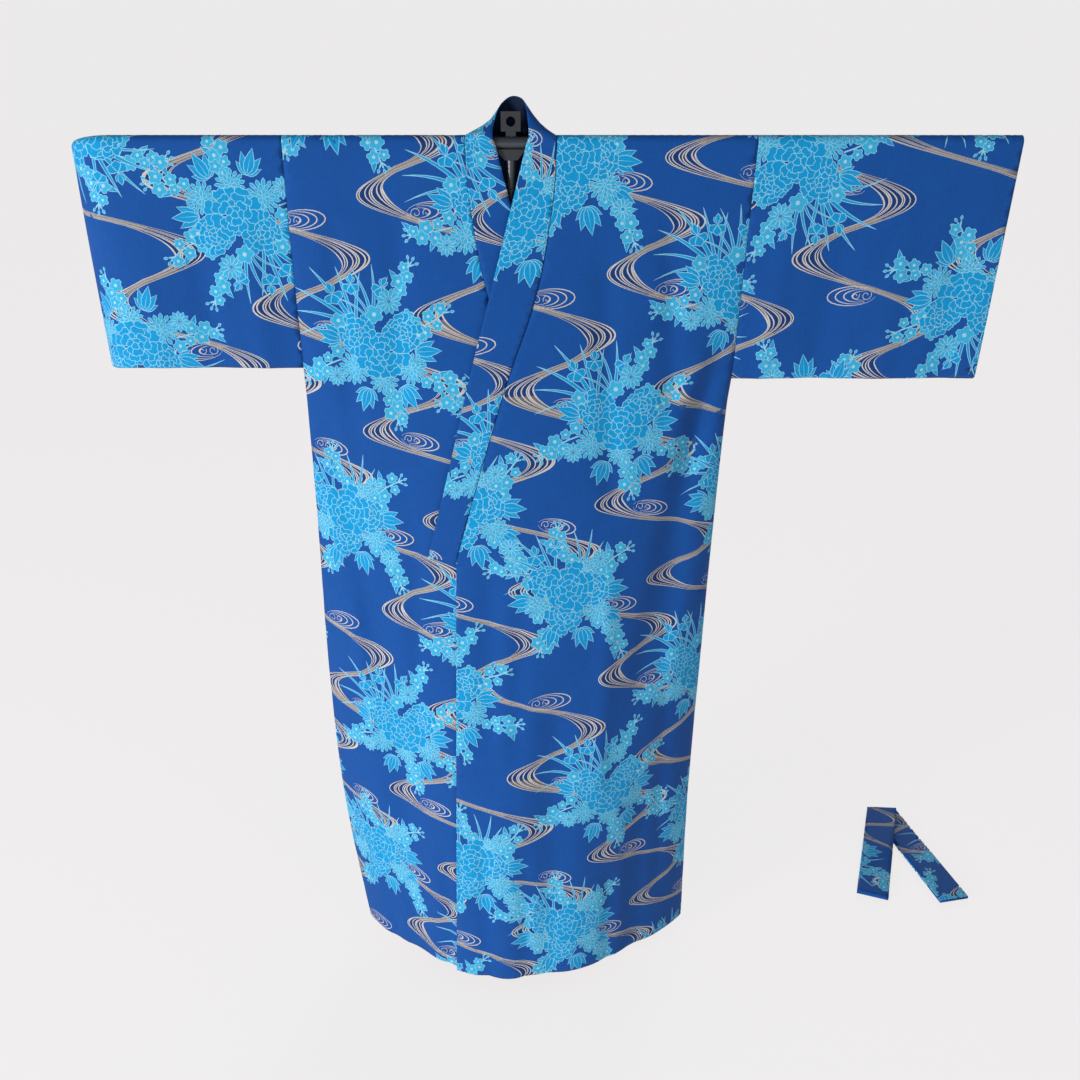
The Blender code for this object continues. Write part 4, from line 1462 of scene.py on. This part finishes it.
def hang_collar(flat):
    share = flat[:, 0] / COLLAR_WIDE
    row = np.interp(flat[:, 1], COLLAR_ALONG, np.arange(len(COLLAR_ALONG)))
    low = np.minimum(row.astype(int), len(COLLAR_ALONG) - 2)
    part = (row - low)[:, None, None]
    free, middle, seam = np.moveaxis(COLLAR_ROWS[low] * (1 - part) + COLLAR_ROWS[low + 1] * part, 1, 0)
    share = share[:, None]
    edges = free * (1 - share) * (1 - 2 * share) + seam * share * (2 * share - 1)
    return edges + middle * 4 * share * (1 - share)


# %% Cut and lay the collar
def collar_outline():
    length = COLLAR_ALONG[-1]
    lines = np.linspace(0, length, int(length / 0.007))
    line = [(across, 0.0) for across in np.linspace(0, COLLAR_WIDE, 9)[:-1]]
    line += [(COLLAR_WIDE, place) for place in lines[:-1]]
    line += [(across, length) for across in np.linspace(COLLAR_WIDE, 0, 9)[:-1]]
    return line + [(0.0, place) for place in lines[:0:-1]]


collar_print = Print(0.05, 0.16, False)
collar = printed_piece("robe_collar", collar_outline(), hang_collar, collar_print, spacing=0.008)
# The collar's reverse colour is painted shade: a near-black navy that stands in for the shade inside the
# neck.
collar.data.materials.append(printed_cotton("printed_cotton_collar", (0.006, 0.016, 0.050)))
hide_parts("collar")
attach(collar, "root")
collar_length = float(COLLAR_ALONG[-1])
print("collar length %.3f m" % collar_length)
collar_ends = (0.004, collar_length - 0.004)
collar_rows = [[(COLLAR_WIDE - 0.003, place) for place in np.linspace(*collar_ends, 300)]]
collar_rows += [[(0.004, end), (COLLAR_WIDE - 0.004, end)] for end in collar_ends]
thread = sew("collar_stitches", "collar", hang_collar, collar_rows)

# %% [markdown]
# ## The belt
# The sash is the robe's own cloth, folded lengthwise to four layers and folded once across, so that
# two legs spread out from the fold. Its edge shows the four layers as soft ribs. It is one closed
# piece: the print goes all the way round, and the ribs are part of its cross-section.

# %% The belt's form
BELT_WIDTH, BELT_LEG, BELT_THICK = 0.060, 0.285, 0.006
BELT_FOLD_RADIUS = 0.0034
BELT_PLACE = (0.790, 0.345)
BELT_TURN, BELT_SPREAD = math.radians(-4), math.radians(32)
BELT_LAID_ON, BELT_ON_FLOOR = 0.115, 0.215
BELT_SIDE = 0.0085
BELT_GIRTH = 2 * BELT_WIDTH + 2 * BELT_SIDE


def belt_middle(across, run):
    lean = BELT_SPREAD / 2
    beside = across * math.cos(lean) + run * math.sin(lean)
    past = run * math.cos(lean) - across * math.sin(lean)
    turn = np.clip(past / BELT_FOLD_RADIUS, -math.pi / 2, math.pi / 2)
    down = np.maximum(np.abs(past) - BELT_FOLD_RADIUS * math.pi / 2, 0.0)
    rise = BELT_THICK / 2 + BELT_FOLD_RADIUS * (1 - np.sin(turn))
    resting = smooth(-past, BELT_LAID_ON, BELT_ON_FLOOR)
    rise = rise - (rise - BELT_THICK / 2) * resting * (past < 0)
    ahead = BELT_FOLD_RADIUS * np.cos(turn) - down
    cosine, sine = math.cos(BELT_TURN), math.sin(BELT_TURN)
    x = BELT_PLACE[0] + beside * cosine - ahead * sine
    y = BELT_PLACE[1] + beside * sine + ahead * cosine
    return np.stack([x, y, rise], axis=1)


def belt_profile(girth):
    """Across and up from the belt's middle, for a length round its cross-section from the top face."""
    girth = np.mod(girth, BELT_GIRTH)
    half, thick = BELT_WIDTH / 2, BELT_THICK / 2 - 0.0001
    side = BELT_WIDTH + BELT_SIDE
    first = np.clip((girth - BELT_WIDTH) / BELT_SIDE, 0, 1)
    second = np.clip((girth - side - BELT_WIDTH) / BELT_SIDE, 0, 1)
    low = np.clip((girth - side) / BELT_WIDTH, 0, 1)
    round_it = lambda share: 0.0011 * np.abs(np.sin(share * math.pi * 4)) - 0.0011
    across = np.where(girth < BELT_WIDTH, girth - half, half + round_it(first))
    up = np.where(girth < BELT_WIDTH, thick, thick * (1 - 2 * first))
    across = np.where(girth >= side, half - BELT_WIDTH * low, across)
    up = np.where(girth >= side, -thick, up)
    across = np.where(girth >= side + BELT_WIDTH, -half - round_it(second), across)
    up = np.where(girth >= side + BELT_WIDTH, thick * (2 * second - 1), up)
    return across, up


def hang_belt(flat):
    across, up = belt_profile(flat[:, 0])
    run, step = flat[:, 1], 0.0005
    along_it = belt_middle(across, run + step) - belt_middle(across, run - step)
    beside = belt_middle(across + step, run) - belt_middle(across - step, run)
    normal = np.cross(beside, along_it)
    normal /= np.linalg.norm(normal, axis=1, keepdims=True)
    return belt_middle(across, run) + normal * up[:, None]


# %% Cut and fold the belt
BELT_SEAM = -BELT_SIDE / 2
BELT_TOLERANCE = 0.0001
BELT_WELD = 0.00002


def belt_girths():
    face = list(np.linspace(0, BELT_WIDTH, 9)[:-1])
    side = [BELT_WIDTH + BELT_SIDE * step / 24 for step in range(24)]
    whole = face + side + [girth + BELT_WIDTH + BELT_SIDE for girth in face + side]
    split = 2 * BELT_WIDTH + 1.5 * BELT_SIDE
    around = [girth for girth in whole if girth <= split + 1e-9]
    return np.array([BELT_SEAM] + [girth - BELT_GIRTH for girth in whole if girth > split + 1e-9] + around)


def belt_outline(girths, crossings=()):
    runs = [np.linspace(-BELT_LEG, BELT_LEG, 80), np.linspace(-0.03, 0.03, 81), crossings]
    runs = np.unique(np.round(np.concatenate(runs), 6))
    line = [(girth, runs[0]) for girth in girths[:-1]]
    line += [(girths[-1], run) for run in runs[:-1]]
    line += [(girth, runs[-1]) for girth in girths[:0:-1]]
    return np.array(line + [(girths[0], run) for run in runs[:0:-1]])


def belt_grid(girths):
    lean = math.tan(BELT_SPREAD / 2)
    points = []
    for girth in girths[1:-1]:
        fold = float(belt_profile(np.array([girth]))[0][0]) * lean
        runs = [np.linspace(-0.010, 0.010, 21) + fold, np.arange(-BELT_LEG + 0.010, fold - 0.012, 0.011)]
        runs.append(np.arange(fold + 0.014, BELT_LEG, 0.011))
        points += [(girth, run) for run in np.concatenate(runs)]
    return points


def build_belt():
    girths = belt_girths()
    outline = belt_outline(girths)
    shapes = list(laid_print(outline, Print(-0.245, -0.300, True)))
    trial = triangulate(outline, shapes)[0]
    on_seam = (np.abs(trial[:, 0] - girths[0]) < 1e-6) | (np.abs(trial[:, 0] - girths[-1]) < 1e-6)
    crossings = trial[on_seam & (np.abs(trial[:, 1]) < BELT_LEG), 1]
    outline = belt_outline(girths, crossings)
    flat, faces, inks = printed_triangles(outline, shapes, belt_grid(girths), BELT_TOLERANCE)
    piece = make_piece("robe_belt", hang_belt(flat), faces, inks, [0.0] * len(faces), flat)
    joined = bmesh.new()
    joined.from_mesh(piece.data)
    bmesh.ops.remove_doubles(joined, verts=joined.verts, dist=BELT_WELD)
    ends = bmesh.ops.holes_fill(joined, edges=[edge for edge in joined.edges if edge.is_boundary], sides=0)
    for face in ends["faces"]:
        face[joined.faces.layers.float["ink"]] = GROUND
    bmesh.ops.recalc_face_normals(joined, faces=joined.faces)
    joined.to_mesh(piece.data)
    open_edges = sum(edge.is_boundary for edge in joined.edges)
    joined.free()
    print(f"robe_belt: {len(piece.data.polygons)} faces, {open_edges} open edges")
    return piece


belt = build_belt()
belt.data.materials.append(printed_cotton("printed_cotton_belt"))
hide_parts("belt")
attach(belt, "root")
belt_rows = [[(0.003, end), (BELT_WIDTH - 0.003, end)] for end in (0.003 - BELT_LEG, BELT_LEG - 0.003)]
for start, end in ((-0.280, -0.020), (0.020, 0.280)):
    belt_rows.append([(0.0025, run) for run in np.linspace(start, end, 90)])
thread = sew("belt_stitches", "belt", hang_belt, belt_rows)

# %% [markdown]
# ## The stand
# The rod and the pole are steel tube with a grey satin paint, and the fittings are dark moulded
# plastic. Their shapes are right already, so they only get a finish: a fine orange-peel bump and
# slightly uneven gloss for the paint, a coarser grain for the plastic.

# %% The stand's finishes
def make_grain_group():
    group, inside, outside = new_group(
        "surface_grain",
        {"Grains per metre": "Float", "Unevenness": "Float"},
        {"Height": "Float", "Mask": "Float"},
    )
    place = add_node(group, "ShaderNodeTexCoord").outputs["Object"]
    links = {"Vector": place, "Scale": inside.outputs["Grains per metre"], "Detail": 3.0}
    grain = add_node(group, "ShaderNodeTexNoise", None, links)
    patches = add_node(group, "ShaderNodeTexNoise", None, {"Vector": place, "Scale": 14.0, "Detail": 4.0})
    mask = compute(group, "MULTIPLY", patches.outputs["Fac"], inside.outputs["Unevenness"])
    group.links.new(grain.outputs["Fac"], outside.inputs["Height"])
    group.links.new(mask, outside.inputs["Mask"])
    return group


GRAIN = make_grain_group()


def stand_finish(name, colour, roughness, metallic, grains, coat):
    settings = {"Base_Color": (*colour, 1), "Metallic": metallic, "Coat_Weight": coat}
    material, tree, shader = new_material(name, **settings)
    links = {"Grains per metre": grains, "Unevenness": 0.30}
    grain = add_node(tree, "ShaderNodeGroup", {"node_tree": GRAIN}, links)
    rough = compute(tree, "ADD", grain.outputs["Mask"], roughness - 0.15)
    tree.links.new(rough, shader.inputs["Roughness"])
    add_bump(tree, shader, grain.outputs["Height"], 0.2, 0.0002)
    return material


grey_paint = stand_finish("grey_painted_steel", (0.036, 0.044, 0.058), 0.46, 0.25, 900.0, 0.08)
dark_plastic = stand_finish("dark_moulded_plastic", (0.013, 0.016, 0.022), 0.60, 0.0, 1800.0, 0.0)
for name in ("lower_pole", "upper_tube", "cross_rod"):
    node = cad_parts[name]
    node.material_slots[0].material = grey_paint
for name in ("stand_base", "pole_ring", "tee_fitting", "top_plate"):
    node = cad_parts[name]
    node.material_slots[0].material = dark_plastic
print("stand finished in 2 materials")

# %% [markdown]
# ## Studio
# The robe stands on a wide pale floor under a sky of the same tone, so that no horizon shows and it
# can be seen from behind too. A glowing floor would flatten the folds, so neither it nor the bright
# sky lights the cloth. One strong soft light rakes across from the left, two weak ones from the
# front lift the hem, and a low even one comes from behind for the back.

# %% Floor, lights and world
FLOOR_HALF, FLOOR_DROP = 40.0, 0.0005
PALE_TONE, AMBIENT = 0.835, 0.26
PAPER_TONE, SUN_ON_PAPER = 0.16, 0.016


def build_floor():
    corners = ((-1, -1), (1, -1), (1, 1), (-1, 1))
    points = [(x * FLOOR_HALF, y * FLOOR_HALF, -FLOOR_DROP) for x, y in corners]
    mesh = bpy.data.meshes.new("paper_floor")
    mesh.from_pydata(points, [], [(0, 1, 2, 3)])
    floor = add_object("paper_floor", mesh)
    floor.visible_diffuse = False
    glow = PALE_TONE - PAPER_TONE * AMBIENT - SUN_ON_PAPER
    paper, _, _ = new_material(
        "pale_paper", Base_Color=(PAPER_TONE, 0.158, 0.158, 1), Roughness=0.95, Specular_IOR_Level=0.0,
        Emission_Color=(1.0, 0.982, 0.982, 1), Emission_Strength=glow,
    )
    mesh.materials.append(paper)
    return floor


def area_light(name, place, aim, size, power, colour):
    lamp = bpy.data.lights.new(name, "AREA")
    lamp.shape, lamp.size, lamp.energy, lamp.color = "DISK", size, power, colour
    light = add_object(name, lamp)
    light.location = place
    light.rotation_euler = (Vector(aim) - Vector(place)).to_track_quat("-Z", "Y").to_euler()
    light.visible_camera = False


def low_sun(name, towards, strength):
    """An even light from behind and just above the floor, which hardly lights the floor itself."""
    lamp = bpy.data.lights.new(name, "SUN")
    lamp.energy, lamp.angle = strength, math.radians(25)
    light = add_object(name, lamp)
    light.rotation_euler = Vector(towards).to_track_quat("Z", "Y").to_euler()


def light_sky():
    """A pale sky for the eye, and a dimmer one for everything that it lights."""
    world = bpy.context.scene.world or bpy.data.worlds.new("studio")
    bpy.context.scene.world = world
    world.use_nodes = True
    tree = world.node_tree
    sky = tree.nodes["Background"]
    sky.inputs["Color"].default_value = (1.0, 0.986, 0.986, 1)
    ray = tree.nodes.new("ShaderNodeLightPath")
    strength = tree.nodes.new("ShaderNodeMapRange")
    strength.inputs["To Min"].default_value = AMBIENT
    strength.inputs["To Max"].default_value = PALE_TONE
    tree.links.new(ray.outputs["Is Camera Ray"], strength.inputs["Value"])
    tree.links.new(strength.outputs["Result"], sky.inputs["Strength"])


build_floor()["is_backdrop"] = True
light_sky()
area_light("key", (-3.6, -3.0, 0.8), (0, 0, 0.55), 1.3, 192, (1.0, 0.99, 0.97))
area_light("low_front", (0.55, -1.9, 0.25), (0.05, 0, 0.4), 1.0, 9, (1.0, 1.0, 1.0))
area_light("fill", (2.8, -2.2, 0.5), (0.2, 0, 0.6), 1.8, 10, (0.96, 0.98, 1.0))
low_sun("back", (0.35, 1.0, 0.20), 1.7)
bpy.context.scene.view_settings.view_transform = "Standard"
print("lights:", [thing.name for thing in bpy.data.objects if thing.type == "LIGHT"])

# %% [markdown]
# ## Both boxes
# The looks have to stay inside the imported model's box, so both boxes are written down side by side
# before the frame is closed.

# %% Write both boxes and finish
now_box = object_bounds()
for name, (low, high) in (("cad", cad_box), ("scene", now_box)):
    print(name, [round(value, 4) for value in low], [round(value, 4) for value in high])
